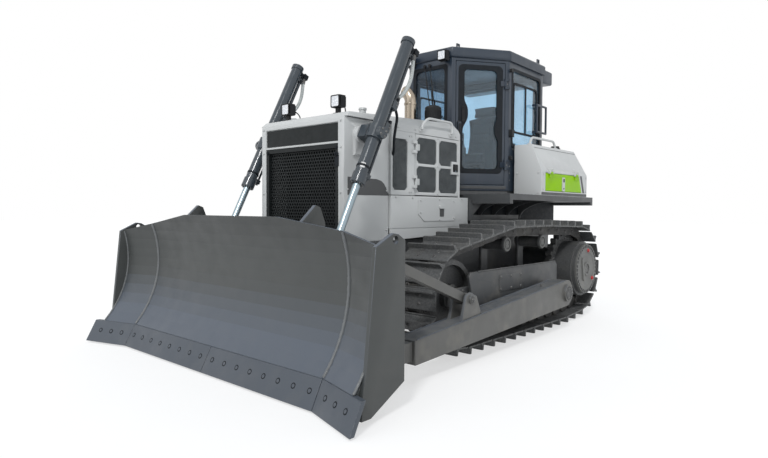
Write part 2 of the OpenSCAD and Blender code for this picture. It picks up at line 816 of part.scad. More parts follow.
module engine_block() place() color(steel)
    block(engine_rear, engine_rear + engine_l, -engine_w / 2, engine_w / 2, rail_top, rail_top + engine_h);

module drawbar() place() color(grey_dark) difference() {
    side_plate([
        [case_rear, drawbar_z - drawbar_h / 2], [drawbar_rear + 40, drawbar_z - drawbar_h / 2],
        [drawbar_rear, drawbar_z - drawbar_h / 2 + 30], [drawbar_rear, drawbar_z + drawbar_h / 2 - 30],
        [drawbar_rear + 40, drawbar_z + drawbar_h / 2], [case_rear, drawbar_z + drawbar_h / 2]
    ], -drawbar_w / 2, drawbar_w / 2);
    block(drawbar_rear - over, case_rear - 25, -drawbar_w / 2 - over, drawbar_w / 2 + over,
        drawbar_z - jaw_gap / 2, drawbar_z + jaw_gap / 2);
    translate([drawbar_rear + 65, 0, drawbar_z - drawbar_h])
        cylinder(d = drawbar_bore, h = 2 * drawbar_h, $fn = fine);
}

// The shell is open behind; the grille plate closes its front opening.
opening_half = shell_half - shell_wall;
module radiator_shell() place() {
    color(grey_light) difference() {
        block(shell_rear, shell_front, -shell_half, shell_half, rail_top, shell_top);
        block(shell_rear - over, shell_front - 60, -opening_half, opening_half, rail_top - over,
            shell_top - shell_wall);
        block(shell_front - 62, shell_front + over, -opening_half, opening_half, grille_low, grille_top);
        block(shell_front - 14, shell_front + over, -opening_half, opening_half, grille_top + 16,
            shell_top - 44);
    }
    color(grey_light) both() difference() {
        union() {
            cross_pin(lift_x, lift_z, yoke_pin_r + 42, shell_half - over, boss_y);
            block(lift_x - collar_r, lift_x + collar_r, shell_half - over, boss_y - 20,
                lift_z - boss_drop, lift_z);
        }
        cross_pin(lift_x, lift_z, yoke_pin_r + fit, shell_half + 8, boss_y + over);
    }
}
boss_y = lift_y - collar_r - yoke_l - side_gap;

module radiator_core() place() color(black)
    block(shell_front - 250 - core_t, shell_front - 250, -opening_half, opening_half, rail_top,
        shell_top - shell_wall);

module radiator_grille() place() color(black) {
    rows = floor((grille_top - grille_low - 40) / (hole_step * 0.866));
    columns = floor((2 * opening_half - 60) / hole_step);
    first_z = (grille_top + grille_low) / 2 - (rows - 1) * hole_step * 0.433;
    translate([shell_front - 40, 0, 0]) rotate([90, 0, 90]) linear_extrude(grille_t) difference() {
        translate([-opening_half, grille_low]) square([2 * opening_half, grille_top - grille_low]);
        for (r = [0 : rows - 1], c = [0 : columns - 1 - r % 2])
            translate([(c + (r % 2) / 2 - (columns - 1) / 2) * hole_step, first_z + r * hole_step * 0.866])
                circle(d = hole_d, $fn = 6);
    }
}

// The hood top is a shell: shoulders in section, rising towards the cab.
module hood_body(inset) intersection() {
    side_plate([
        [hood_rear + inset, seam_z - (inset > 0 ? over : 0)],
        [shell_front - inset, seam_z - (inset > 0 ? over : 0)],
        [shell_front - inset, hood_front_top - 60 - inset],
        [shell_front - 60 - inset, hood_front_top - inset],
        [hood_rear + inset, hood_rear_top - inset]
    ], -hood_half, hood_half);
    front_plate([
        [-hood_half + inset, seam_z - over], [hood_half - inset, seam_z - over],
        [hood_half - inset, seam_z + 60], [hood_half - inset * 0.6 - 24, seam_z + 104 - inset * 0.6],
        [hood_half - shoulder_w - inset * 0.4, hood_rear_top + over - inset],
        [-hood_half + shoulder_w + inset * 0.4, hood_rear_top + over - inset],
        [-hood_half + inset * 0.6 + 24, seam_z + 104 - inset * 0.6], [-hood_half + inset, seam_z + 60]
    ], hood_rear - over, shell_front + over);
}
module hood_top() place() color(grey_light) difference() {
    hood_body(0);
    hood_body(panel_t / 2);
    block(shell_rear - over, shell_front + over, -hood_half - over, hood_half + over, seam_z - over,
        shell_top);
}

hood_hinges = [door_seam_z + 130, seam_z - 130];
module at_hood_hinge(z) translate([door_hinge_x - door_gap / 2, hood_half + hinge_off, z]) mirror([0, 1, 0])
    children();
module mesh_pocket(x0, x1, z0, z1)
    block(x0, x1, hood_half - mesh_d, hood_half + over, z0, z1);
module hood_fronts() place() color(grey_light) both() {
    difference() {
        block(door_hinge_x, shell_rear, hood_half - panel_t, hood_half, door_seam_z, seam_z);
        mesh_pocket(door_hinge_x + 110, shell_rear - 20, door_seam_z + 46, seam_z - 70);
    }
    for (z = hood_hinges) at_hood_hinge(z) hinge_frame();
}
module lower_panels() place() color(grey_light) {
    both() {
        block(panel_rear, shell_rear, hood_half - panel_t, hood_half, panel_low, door_seam_z - door_gap);
        block(hood_rear, door_rear_x - door_gap, hood_half - panel_t, hood_half,
            door_seam_z - door_gap - over, seam_z);
        // Brackets on the main frame
        for (x = [shell_rear - 2 * panel_foot, panel_rear])
            block(x, x + panel_foot, frame_half - panel_foot, hood_half - panel_t + over, rail_top,
                panel_low + panel_foot);
    }
    // Bulkhead behind the engine
    block(hood_rear, hood_rear + panel_t / 2, -hood_half + panel_t - over, hood_half - panel_t + over,
        rail_top, seam_z);
}

door_edge = door_hinge_x - door_gap;
knuckle_r = 11;
module hood_door() {
    low = door_seam_z + door_gap;
    high = seam_z - door_gap;
    mid_x_door = (door_edge + door_rear_x) / 2;
    mid_z = (low + high) / 2;
    color(grey_light) difference() {
        block(door_rear_x, door_edge, hood_half - panel_t, hood_half, low, high);
        for (x = [door_rear_x + mesh_margin / 2, mid_x_door + mesh_margin / 2],
             z = [low + mesh_margin * 0.7, mid_z + mesh_margin / 3])
            mesh_pocket(x, x + (door_edge - door_rear_x) / 2 - mesh_margin, z,
                z + (high - low) / 2 - mesh_margin);
    }
    color(grey_light) block(door_rear_x + door_gap, door_rear_x + door_gap + 2 * latch_w, hood_half - mesh_d,
        hood_half + latch_t, mid_z - latch_h / 2, mid_z + latch_h / 2);
    color(black) for (z = hood_hinges) at_hood_hinge(z) hinge_sleeve();
}
module hood_door_left() place() hood_door();
module hood_door_right() place() mirror([0, 1, 0]) hood_door();

function hood_top_at(x) = hood_rear_top
    + (hood_front_top - hood_rear_top) * (x - hood_rear) / (shell_front - 60 - hood_rear);
module exhaust() place() color(chrome) {
    base = hood_top_at(exhaust_x - exhaust_r - 22) + seat_gap;
    translate([exhaust_x, exhaust_y, base]) {
        difference() {
            union() {
                cylinder(r = exhaust_r, h = exhaust_h, $fn = fine);
                cylinder(r = exhaust_r + 22, h = 16, $fn = fine);
            }
            translate([0, 0, 30]) cylinder(r = exhaust_r - exhaust_wall, h = exhaust_h, $fn = fine);
        }
        translate([0, -bend_r, exhaust_h]) rotate([90, 0, 90]) rotate_extrude(angle = 70, $fn = fine)
            translate([bend_r, 0]) difference() {
                circle(r = exhaust_r, $fn = fine);
                circle(r = exhaust_r - exhaust_wall, $fn = fine);
            }
    }
}
module precleaner() place() color(black)
    translate([cleaner_x, cleaner_y, hood_top_at(cleaner_x - cleaner_r * 0.6) + seat_gap]) {
        cylinder(r = cleaner_r * 0.6, h = 60, $fn = fine);
        translate([0, 0, 45]) cylinder(r = cleaner_r, h = cleaner_h - 45, $fn = fine);
    }

lamp_foot = hood_top_at(lamp_x - lamp_d / 2 - 15) + seat_gap;
module lamp(back) {
    color(black) translate([-lamp_d, -lamp_w / 2, -lamp_w / 2]) cube([lamp_d, lamp_w, lamp_w]);
    color(black) translate([-lamp_d - back, -lamp_w / 4, -lamp_w / 4])
        cube([back + over, lamp_w / 2, lamp_w / 2]);
    color(lamp_white) translate([-over, -lamp_w * 0.43, -lamp_w * 0.43])
        cube([2 * over, lamp_w * 0.86, lamp_w * 0.86]);
}
module work_lamps() place() both() {
    translate([lamp_x, lamp_y, lamp_z]) {
        lamp(over);
        color(black) translate([-lamp_d / 2 - 15, -20, lamp_foot - lamp_z])
            cube([30, 40, lamp_z - lamp_foot - lamp_w / 2 + over]);
    }
    translate([roof_nose + lamp_d + rail_r, roof_lamp_y, roof_z + roof_lamp_h]) lamp(rail_r);
}

// A handrail is a bar on two thinner legs through four points at one y, from foot to foot.
module tube(p, q, y, r, past = 0) translate([p[0], y, p[1]]) rotate([0, atan2(q[0] - p[0], q[1] - p[1]), 0])
    translate([0, 0, -past]) cylinder(r = r, h = norm(q - p) + 2 * past, $fn = fine);
module handrail(p, y) {
    tube(p[1], p[2], y, rail_r, rail_r);
    for (i = [0, 3]) tube(p[i], p[i == 0 ? 1 : 2], y, rail_r * 0.94);
}
hood_rail_y = hood_half + rail_r + latch_t;
hood_rail_z = seam_z + handrail_h * 0.85;
module handrails() place() color(grey_light) both() {
    x0 = door_rear_x + hood_rail_in;
    x1 = x0 + hood_rail_l;
    handrail([
        [x1, hood_rail_z], [x1 - handrail_h, hood_rail_z + handrail_h], [x0, hood_rail_z + handrail_h],
        [x0, hood_rail_z]
    ], hood_rail_y);
    for (x = [x0, x1])
        block(x - rail_r, x + rail_r, hood_half, hood_rail_y + rail_r, hood_rail_z - 4 * rail_r,
            hood_rail_z + rail_r);
    t0 = tank_front - tank_rail_in - tank_rail_l;
    t1 = tank_front - tank_rail_in;
    handrail([
        [t0, tank_top + rail_r / 2], [t0 + handrail_h / 2, tank_top + handrail_h],
        [t1 - handrail_h / 2, tank_top + handrail_h], [t1, tank_top + rail_r / 2]
    ], tank_rail_y);
    for (x = [t0, t1]) translate([x, tank_rail_y, tank_top]) cylinder(r = 2 * rail_r, h = rail_r, $fn = fine);
}
tank_rail_y = fender_y - tank_lean - 3 * rail_r;

// The deck carries the cab; skirts and curved gussets stand under its edges.
skirt_low = panel_low + panel_foot;
skirt_rear = skirt_front - skirt_l;
function gusset_edge(y0, y1, z0, z1) = [for (i = [0 : 8]) let (a = 90 * i / 8)
    [y1 - (y1 - y0) * sin(a), z0 + (z1 - z0) * cos(a)]];
module platform() place() color(grey_dark) {
    both() {
        block(fender_rear, fender_front, frame_half - over, fender_y, fender_z, fender_z + fender_t);
        block(fender_rear, fender_front - rib_w, frame_half, frame_half + rib_t, case_top - rib_t,
            fender_z + over);
        for (x = [fender_rear, fender_front - rib_w])
            block(x, x + rib_w, frame_half, fender_y, fender_z - rib_t, fender_z + over);
        for (k = [1 : gusset_count])
            front_plate(concat([[frame_half + over, case_top], [frame_half + over, fender_z + over]],
                gusset_edge(frame_half + rib_w, fender_y - rib_t, case_top, fender_z + over)),
                skirt_front - k * gusset_step, skirt_front - k * gusset_step + rib_t / 2);
        difference() {
            block(skirt_rear, skirt_front, skirt_y - rib_t, skirt_y, skirt_low, fender_z + over);
            side_plate([
                [skirt_rear - over, skirt_low + rib_w], [skirt_front - rib_w, skirt_low + rib_w],
                [skirt_front - 4 * rib_w, fender_z - rib_t], [skirt_rear - over, fender_z - rib_t]
            ], skirt_y - 2 * rib_t, skirt_y + over);
        }
    }
    block(cab_rear + cab_wall, fender_front - rib_w, -frame_half, frame_half, fender_z, tank_floor);
    plan_plate(inset_plan(cab_plan, latch_t), tank_floor - over, cab_floor_z);
    plan_plate(inset_plan(cab_plan, cab_wall), cab_floor_z - over, cab_floor_z + floor_t);
}

tank_floor = fender_z + fender_t;
tank_crease = tank_floor + tank_wall_h;
tank_top = tank_crease + tank_lean_h;
lid_low = tank_floor + lid_sill;
module tank_shape() intersection() {
    front_plate([
        [tank_inner, tank_floor], [fender_y, tank_floor], [fender_y, tank_crease],
        [fender_y - tank_lean, tank_top], [tank_inner, tank_top]
    ], tank_rear, tank_front);
    side_plate([
        [tank_rear, tank_floor], [tank_front, tank_floor], [tank_front, tank_top],
        [tank_rear + tank_rake, tank_top], [tank_rear, tank_crease]
    ], tank_inner - over, fender_y + over);
}
lid_top = tank_crease - lid_t / 2;
lid_rear = tank_rear + lid_rear_frame;
lid_front = tank_front - lid_front_frame;
lid_hinges = [lid_rear + lid_slant + leaf_l * 2, lid_front - leaf_l * 2];
function lid_outline(gap) = [
    [lid_rear + gap, lid_low + gap], [lid_front - gap, lid_low + gap], [lid_front - gap, lid_top - gap],
    [lid_rear + lid_slant + gap, lid_top - gap]
];
module at_lid_hinge(x) translate([x, fender_y + hinge_off, lid_top - door_gap / 2])
    multmatrix([[0, 0, 1, 0], [0, -1, 0, 0], [1, 0, 0, 0]]) children();
module tank_boxes() place() color(grey_light) both() {
    difference() {
        tank_shape();
        side_plate(lid_outline(0), fender_y - lid_t - door_gap, fender_y + over);
    }
    for (x = lid_hinges) at_lid_hinge(x) hinge_frame(lid_t);
}
module tank_lid() {
    mid = (lid_front + lid_rear + lid_slant) / 2;
    color(green) side_plate(lid_outline(door_gap), fender_y - lid_t, fender_y);
    color(black) for (x = lid_hinges) at_lid_hinge(x) hinge_sleeve();
    color(grey_light) block(mid - latch_w / 2, mid + latch_w / 2, fender_y - over, fender_y + latch_t,
        lid_low + 2 * door_gap, lid_low + 2 * door_gap + latch_h);
}
module tank_lid_left() place() tank_lid();
module tank_lid_right() place() mirror([0, 1, 0]) tank_lid();

module fuel_tank() place() color(grey_light) side_plate([
    [fuel_rear, case_top], [cab_rear - 30, case_top], [cab_rear - 30, fuel_top],
    [fuel_rear + 150, fuel_top], [fuel_rear, fuel_top - 260]
], -fuel_half, fuel_half);
fuel_half = frame_half - over - seat_gap;

// The cab in plan: narrow front, slanted door faces, straight sides.
roof_nose = cab_front + roof_lip;
cab_plan = [
    [cab_front, -cab_front_half], [cab_front, cab_front_half], [cab_bend_x, cab_half],
    [cab_rear, cab_half - 30], [cab_rear, -cab_half + 30], [cab_bend_x, -cab_half]
];
function left_of(d) = [-d[1], d[0]] / norm(d);
function cross2(a, b) = a[0] * b[1] - a[1] * b[0];
function inset_corner(a, b, c, t) = let (
        u = (b - a) / norm(b - a), v = (c - b) / norm(c - b),
        p = b + t * left_of(b - a), q = b + t * left_of(c - b),
        k = cross2(q - p, v) / cross2(u, v)
    ) p + k * u;
function inset_plan(p, t) = [for (i = [0 : len(p) - 1])
    inset_corner(p[(i + len(p) - 1) % len(p)], p[i], p[(i + 1) % len(p)], t)];
module along(a, b) translate([a[0], a[1], 0]) rotate(atan2(b[1] - a[1], b[0] - a[0])) children();

cab_a = cab_plan[1];
cab_b = cab_plan[2];
cab_c = cab_plan[3];
door_l = norm(cab_b - cab_a);
side_l = norm(cab_c - cab_b);
door_low = cab_floor_z + floor_t + 12;
door_high = roof_z - 30;
door_in = pillar_w * 0.6;
window_high = roof_z - header_h;
module door_hole(gap) translate([door_in + gap, -over, door_low + gap])
    cube([door_l - 2 * door_in - 2 * gap, cab_wall + 2 * over, door_high - door_low - 2 * gap]);

door_hinges = [door_low + 230, door_high - 230];
module at_cab_hinge(z) along(cab_a, cab_b)
    translate([door_l - door_in - door_gap / 2, -hinge_off, z]) children();
module cab_shell() difference() {
    plan_plate(cab_plan, cab_floor_z, roof_z);
    plan_plate(inset_plan(cab_plan, cab_wall), cab_floor_z - over, roof_z + over);
    both() {
        along(cab_a, cab_b) door_hole(0);
        along(cab_b, cab_c) translate([pillar_w, -over, sill_z])
            cube([side_l - 2 * pillar_w, cab_wall + 2 * over, window_high - sill_z]);
    }
    block(cab_front - cab_wall - over, cab_front + over, -cab_front_half + pillar_w,
        cab_front_half - pillar_w, windshield_z, window_high);
    block(cab_rear - over, cab_rear + cab_wall + over, -cab_half + 30 + pillar_w, cab_half - 30 - pillar_w,
        sill_z, window_high);
}
module cab_frame() place() color(grey_dark) {
    cab_shell();
    both() for (z = door_hinges) at_cab_hinge(z) hinge_frame();
    both() along(cab_b, cab_c) translate([side_l - loop_in, -loop_off, loop_z]) {
        for (x = [0, loop_l]) {
            translate([x, 0, 0]) cylinder(r = rail_r, h = loop_h, $fn = fine);
            for (z = [0, loop_h]) translate([x, 0, z]) sphere(r = rail_r, $fn = fine);
        }
        for (z = [0, loop_h]) translate([0, 0, z]) rotate([0, 90, 0])
            cylinder(r = rail_r, h = loop_l, $fn = fine);
        for (z = [0, loop_h]) translate([-rail_r, 0, z - rail_r])
            cube([2 * rail_r, loop_off + over, 2 * rail_r]);
    }
}
module cab_roof() place() color(grey_dark) {
    plan_plate(inset_plan(cab_plan, -roof_lip), roof_z, roof_z + roof_t);
    block(cab_rear - roof_box_l, cab_rear - roof_lip + over, -cab_half + cab_wall, cab_half - cab_wall,
        roof_z + roof_t - roof_box_h, roof_z + roof_t - roof_lip);
    both() for (p = [cab_a, cab_c])
        translate([p[0] - (p == cab_a ? 1 : -1) * 2 * cab_wall, p[1], roof_z + roof_t]) roof_eye();
}
module roof_eye() difference() {
    translate([-roof_eye_h / 2, -roof_eye_h / 4, -over])
        cube([roof_eye_h, roof_eye_h / 4, roof_eye_h + over]);
    translate([0, 0, roof_eye_h * 0.45]) rotate([90, 0, 0])
        cylinder(r = roof_eye_h * 0.27, h = 2 * roof_eye_h, center = true, $fn = fine);
}
glass_y = 14;
module pane(l, z0, z1) translate([0, glass_y, z0]) cube([l, glass_t, z1 - z0]);
module cab_glass() place() color(glass_tint) {
    both() along(cab_b, cab_c) translate([pillar_w, 0, 0]) pane(side_l - 2 * pillar_w, sill_z, window_high);
    along([cab_front, -cab_front_half], cab_a) translate([pillar_w, 0, 0])
        pane(2 * cab_front_half - 2 * pillar_w, windshield_z, window_high);
    block(cab_rear + glass_y, cab_rear + glass_y + glass_t, -cab_half + 30 + pillar_w,
        cab_half - 30 - pillar_w, sill_z, window_high);
}

door_t = 48;
pane_margin = 75;
pane_low = door_low + 160;
module in_left_door() along(cab_a, cab_b) children();
module cab_door() color(grey_dark) {
    for (z = door_hinges) at_cab_hinge(z) hinge_sleeve();
    in_left_door() door_panel();
}
module door_panel() {
    difference() {
        translate([door_in + door_gap, 0, door_low + door_gap])
            cube([door_l - 2 * door_in - 2 * door_gap, door_t, door_high - door_low - 2 * door_gap]);
        translate([door_in + pane_margin, -over, pane_low])
            cube([door_l - 2 * door_in - 2 * pane_margin, door_t + 2 * over,
                door_high - pane_margin - pane_low]);
    }
    translate([door_in + 22, -30, 2060]) cube([34, 30 + over, 190]);
}
module door_glass() color(glass_tint) in_left_door() translate([door_in + pane_margin, 0, 0])
    pane(door_l - 2 * door_in - 2 * pane_margin, pane_low, door_high - pane_margin);
module cab_door_left() place() cab_door();
module cab_door_right() place() mirror([0, 1, 0]) cab_door();
module door_glass_left() place() door_glass();
module door_glass_right() place() mirror([0, 1, 0]) door_glass();

seat_z = cab_floor_z + floor_t;
seat_back = seat_x - seat_l / 2;
module seat() place() color(black) {
    base = seat_z + seat_h;
    top = base + cushion_t;
    block(seat_x - seat_l * 0.3, seat_x + seat_l * 0.3, -seat_w * 0.3, seat_w * 0.3, seat_z, base);
    block(seat_back, seat_back + seat_l, -seat_w / 2, seat_w / 2, base - over, top);
    side_plate([
        [seat_back, top - over], [seat_back + cushion_t, top - over],
        [seat_back - backrest_rake + cushion_t * 0.85, top + backrest_h],
        [seat_back - backrest_rake, top + backrest_h]
    ], -seat_w * 0.46, seat_w * 0.46);
}
console_y = seat_w / 2 + console_w / 3;
module controls() place() color(black) {
    both() {
        block(seat_back, seat_back + console_l, console_y, console_y + console_w, seat_z, seat_z + console_h);
        translate([seat_back + console_l - 2 * lever_r, console_y + console_w / 2, seat_z + console_h - over])
            cylinder(r = lever_r, h = lever_h, $fn = fine);
    }
    translate([cab_front - cab_wall - dash_l - glass_y, -dash_w / 2, seat_z]) cube([dash_l, dash_w, dash_h]);
}

// Blade section from the arc of its face; the wings repeat it, turned and mitred at the folds.
face_steps = 12;
function arc_z(i, z0, z1) = z0 + (z1 - z0) * i / face_steps;
function face_arc(r, z0, z1) = [for (i = [0 : face_steps]) let (z = arc_z(i, z0, z1))
    [face_centre_x - sqrt(r * r - (z - face_z) * (z - face_z)), z]];
function reversed(v) = [for (i = [len(v) - 1 : -1 : 0]) v[i]];
function turned(p) = [for (q = p) [face_x + (q[0] - face_x) * cos(wing_angle), q[1]]];
skin = concat(face_arc(face_r, face_low, blade_top + 20),
    reversed(face_arc(face_r + face_t, face_low, blade_top + 20)));
module wing(outline, y_end) intersection() {
    translate([face_x, fold_y, 0]) rotate(-wing_angle) translate([-face_x, 0, 0])
        side_plate(turned(outline), -fold_y / 4, 1.5 * (y_end - fold_y));
    block(0, 2 * front_x, fold_y, y_end, -blade_top, 2 * blade_top);
}
module blade_sweep(outline, y_end) {
    side_plate(outline, -fold_y - over / 4, fold_y + over / 4);
    both() wing(outline, y_end);
}
blade_outline = [
    [-blade_half, 0], [blade_half, 0], [blade_half, end_top], [fold_y, fold_top],
    [blade_level, blade_top], [-blade_level, blade_top], [-fold_y, fold_top], [-blade_half, end_top]
];
end_in = blade_half - end_t;
module moldboard() place() color(grey_dark) intersection() {
    blade_sweep(skin, end_in);
    front_plate(blade_outline, shell_front, front_x);
}

back_x = face_x - face_t;
function skin_z(i) = arc_z(i, face_low, blade_top + 20);
back_line = [for (i = [0 : face_steps]) let (z = skin_z(i)) [z, face_centre_x
    - sqrt(pow(face_r + face_t, 2) - pow(z - face_z, 2)) - seat_gap]];
function seat_line(z0, z1) = concat([[lookup(z0, back_line), z0]],
    [for (p = back_line) if (p[0] > z0 && p[0] < z1) [p[1], p[0]]], [[lookup(z1, back_line), z1]]);
function beam_section(z0, z1, d) = concat([[back_x - d, z0]], seat_line(z0, z1), [[back_x - d, z1]]);
low_beam_z = face_low + 15;
low_beam_top = low_beam_z + low_beam_h;
back_beam_top = back_beam_z + back_beam_h;
ear_in = eye_w / 2 + side_gap;
ear_r = eye_r * 1.4;
ear_foot = [
    [eye_x - ear_r, eye_z - ear_r * 0.45], [eye_x - ear_r * 0.25, eye_z - ear_r * 1.1],
    [back_x - low_beam_d + ear_t, low_beam_top - ear_t]
];
ear_head = [[eye_x - ear_r * 0.1, eye_z + ear_r * 1.35], [eye_x - ear_r * 0.85, eye_z + ear_r * 0.8]];
brace_pin = [back_x - back_beam_d - brace_h * 0.6, back_beam_z + back_beam_h / 2];
module blade_frame() place() color(grey_dark) {
    blade_sweep(beam_section(back_beam_z, back_beam_top, back_beam_d), end_in);
    blade_sweep(beam_section(low_beam_z, low_beam_top, low_beam_d), end_in);
    both() {
        // Fin and inner ear that hold the rod eye between them
        side_plate(concat(ear_foot, seat_line(low_beam_top - ear_t, blade_top - 2 * ear_t), [
            [back_x - back_beam_d * 0.75, blade_top + fin_h],
            [back_x - back_beam_d * 1.1, blade_top + fin_h * 0.8],
            [eye_x + ear_r * 0.1, blade_top - fin_h / 2]
        ], ear_head), lift_y + ear_in, lift_y + ear_in + ear_t);
        side_plate(concat(ear_foot, seat_line(low_beam_top - ear_t, back_beam_z + ear_t), ear_head),
            lift_y - ear_in - ear_t, lift_y - ear_in);
        for (y = [lift_y + ear_in + ear_t - over, lift_y - ear_in - 1.4 * ear_t])
            cross_pin(eye_x, eye_z, eye_r * 0.65, y, y + ear_t * 0.4 + over);
        // Ears and pin for the push arm, and the ears for the brace
        for (y = [brace_y - 90, brace_y + 56])
            side_plate([
                [arm_pin_x - 60, arm_pin_z - 60], [back_x + 60, arm_pin_z - 30],
                [back_x + 60, arm_pin_z + 140],
                [arm_pin_x - 20, arm_pin_z + 70], [arm_pin_x - 60, arm_pin_z + 40]
            ], y, y + ear_t);
        cross_pin(arm_pin_x, arm_pin_z, arm_pin_r, brace_y - 90 - 12, brace_y + 90 + 12);
        for (y = [brace_y - brace_w / 2 - ear_t, brace_y + brace_w / 2])
            side_plate([
                [back_x - back_beam_d + ear_t * 1.5, back_beam_z + over],
                [back_x - back_beam_d + ear_t * 1.5, back_beam_top - over],
                [brace_pin[0] - brace_h * 0.55, brace_pin[1] + brace_h * 0.35],
                [brace_pin[0] - brace_h * 0.55, brace_pin[1] - brace_h * 0.35]
            ], y, y + ear_t);
        for (y = [brace_y - brace_w / 2 - 1.4 * ear_t, brace_y + brace_w / 2 + ear_t - over])
            cross_pin(brace_pin[0], brace_pin[1], brace_h * 0.3, y, y + ear_t * 0.4 + over);
    }
}

edge_outline = [
    skin[0], skin[0] + [edge_step, 0], edge_foot, edge_foot - [edge_t * 1.4, 0], skin[len(skin) - 1]
];
module cutting_edges() place() color(steel) both() {
    side_plate(edge_outline, edge_gap / 2, fold_y - edge_gap / 2);
    translate([0, edge_gap / 2, 0]) wing(edge_outline, bit_half - edge_gap / 2);
}

lift_eye_at = [face_x - end_depth * 0.55 + wing_dx, end_top + horn_h * 0.47];
module end_plate() difference() {
    translate([tan(wing_angle) * (blade_half - fold_y), 0, 0]) side_plate([
        [face_x - end_depth, face_low], [face_x + end_reach - 2 * end_low, end_low],
        [face_x + end_reach, end_low],
        [face_x + end_reach * 0.97, face_low * 0.9], [face_x + end_reach * 0.8, face_low * 1.5],
        [face_x + end_top_reach, end_top], [face_x - end_depth * 0.44, end_top + horn_h],
        [face_x - end_depth * 0.68, end_top + horn_h * 0.92], [face_x - end_depth, end_top + horn_h * 0.42]
    ], end_in, blade_half);
    cross_pin(lift_eye_at[0], lift_eye_at[1], lift_eye_d / 2, end_in - over, blade_half + over);
}
module end_plates() place() color(grey_dark) both() end_plate();

arm_in = arm_y - arm_w;
module push_arms() place() color(grey_dark) both() difference() {
    union() {
        side_plate([
            [arm_pivot_x, arm_pivot_z + arm_rear_r], [arm_pivot_x, arm_pivot_z - arm_rear_r],
            [arm_front, arm_front_low], [arm_front, arm_front_top]
        ], arm_in, arm_y);
        cross_pin(arm_pivot_x, arm_pivot_z, arm_rear_r, arm_in, arm_y);
        cross_pin(arm_pivot_x, arm_pivot_z, arm_rear_r - 45, arm_y - over, arm_y + 24);
        block(arm_front - over, arm_pin_x, brace_y - 55, brace_y + 55, arm_pin_z - 70, arm_pin_z + 70);
        cross_pin(arm_pin_x, arm_pin_z, 70, brace_y - 55, brace_y + 55);
        for (y = [brace_y - brace_w / 2 - lug_t, brace_y + brace_w / 2])
            side_plate([
                [lug_rear, arm_pivot_z - 60], [lug_front, arm_pivot_z - 60], [lug_front - 60, lug_top - 20],
                [lug_front - 130, lug_top], [lug_rear + 90, lug_top - 40]
            ], y, y + lug_t);
        for (y = [brace_y - brace_w / 2 - 1.5 * lug_t, brace_y + brace_w / 2 + lug_t - over])
            cross_pin(brace_start[0], brace_start[1], brace_h * 0.33, y, y + lug_t / 2 + over);
    }
    cross_pin(arm_pivot_x, arm_pivot_z, trunnion_r + fit, arm_in - over, arm_y - 28);
    cross_pin(arm_pin_x, arm_pin_z, arm_pin_r + seat_gap, brace_y - 60, brace_y + 60);
}

brace_start = [(lug_rear + lug_front) / 2 + brace_h / 4, lug_top - brace_h * 0.57];
module braces() place() color(grey_dark) both() {
    d = brace_pin - brace_start;
    translate([brace_start[0], brace_y, brace_start[1]]) rotate([0, -atan2(d[1], d[0]), 0]) {
        for (x = [0, norm(d)]) translate([x, brace_w / 2, 0]) rotate([90, 0, 0])
            cylinder(r = brace_h * 0.48, h = brace_w, $fn = fine);
        translate([0, -brace_w * 0.4, -brace_h * 0.35]) cube([norm(d), brace_w * 0.8, brace_h * 0.7]);
    }
}

lift_v = [eye_x - lift_x, eye_z - lift_z];
lift_a = atan2(lift_v[0], -lift_v[1]);
module at_lift(side = 1) translate([lift_x, side * lift_y, lift_z]) rotate([0, -lift_a, 0]) children();
module lift_barrel() color(grey_dark) at_lift() {
    difference() {
        union() {
            translate([0, 0, -barrel_down]) cylinder(r = barrel_r, h = barrel_down + barrel_up, $fn = fine);
            translate([0, 0, -barrel_down]) cylinder(r = barrel_r + 8, h = 90, $fn = fine);
            translate([0, 0, barrel_up - 40]) cylinder(r = barrel_r + 8, h = 40, $fn = fine);
            translate([0, 0, -60]) cylinder(r = collar_r, h = 120, $fn = fine);
        }
        translate([0, 0, -barrel_down - over])
            cylinder(r = rod_r + fit, h = barrel_down + barrel_up - 60, $fn = fine);
    }
    translate([0, -collar_r + 12, 0]) rotate([90, 0, 0])
        cylinder(r = yoke_pin_r, h = lift_y - collar_r + 12 - shell_half - 16, $fn = fine);
    translate([-yoke_w / 2, -collar_r - yoke_l, -yoke_w * 0.45])
        cube([yoke_w, yoke_l + barrel_r / 2, yoke_w * 0.9]);
    // Oil tube, its clips, the valve block and the sleeved hose above it
    translate([-tube_x, 0, -barrel_down * 0.85])
        cylinder(r = oil_tube_r, h = barrel_down * 0.85 + barrel_up / 3, $fn = fine);
    translate([-tube_x, 0, barrel_up / 3]) cylinder(r = oil_hose_r, h = barrel_up * 0.57, $fn = fine);
    for (z = [-barrel_down * 0.82, barrel_up * 0.86]) translate([-tube_x - oil_hose_r, -oil_hose_r, z])
        cube([tube_x - barrel_r * 0.9 + oil_hose_r, 2 * oil_hose_r, 2.4 * oil_hose_r]);
    for (z = [collar_r * 0.9, barrel_up * 0.3]) translate([-tube_x - valve_w * 0.3, -valve_w / 2, z])
        cube([tube_x - barrel_r * 0.8 + valve_w * 0.3, valve_w, valve_w]);
}
tube_x = collar_r + oil_tube_r + over;
module lift_barrel_left() place() lift_barrel();
module lift_barrel_right() place() mirror([0, 1, 0]) lift_barrel();

eye_l = norm(lift_v);
module lift_rod(side) place() at_lift(side) translate([0, 0, -eye_l]) {
    color(chrome) translate([0, 0, eye_r - 10]) cylinder(r = rod_r, h = rod_l - eye_r, $fn = fine);
    color(grey_dark) rotate([90, 0, 0]) translate([0, 0, -eye_w / 2]) difference() {
        cylinder(r = eye_r, h = eye_w, $fn = fine);
        translate([0, 0, -over]) cylinder(r = 28, h = eye_w + 2 * over, $fn = fine);
    }
}
module lift_rod_left() lift_rod(1);
module lift_rod_right() lift_rod(-1);

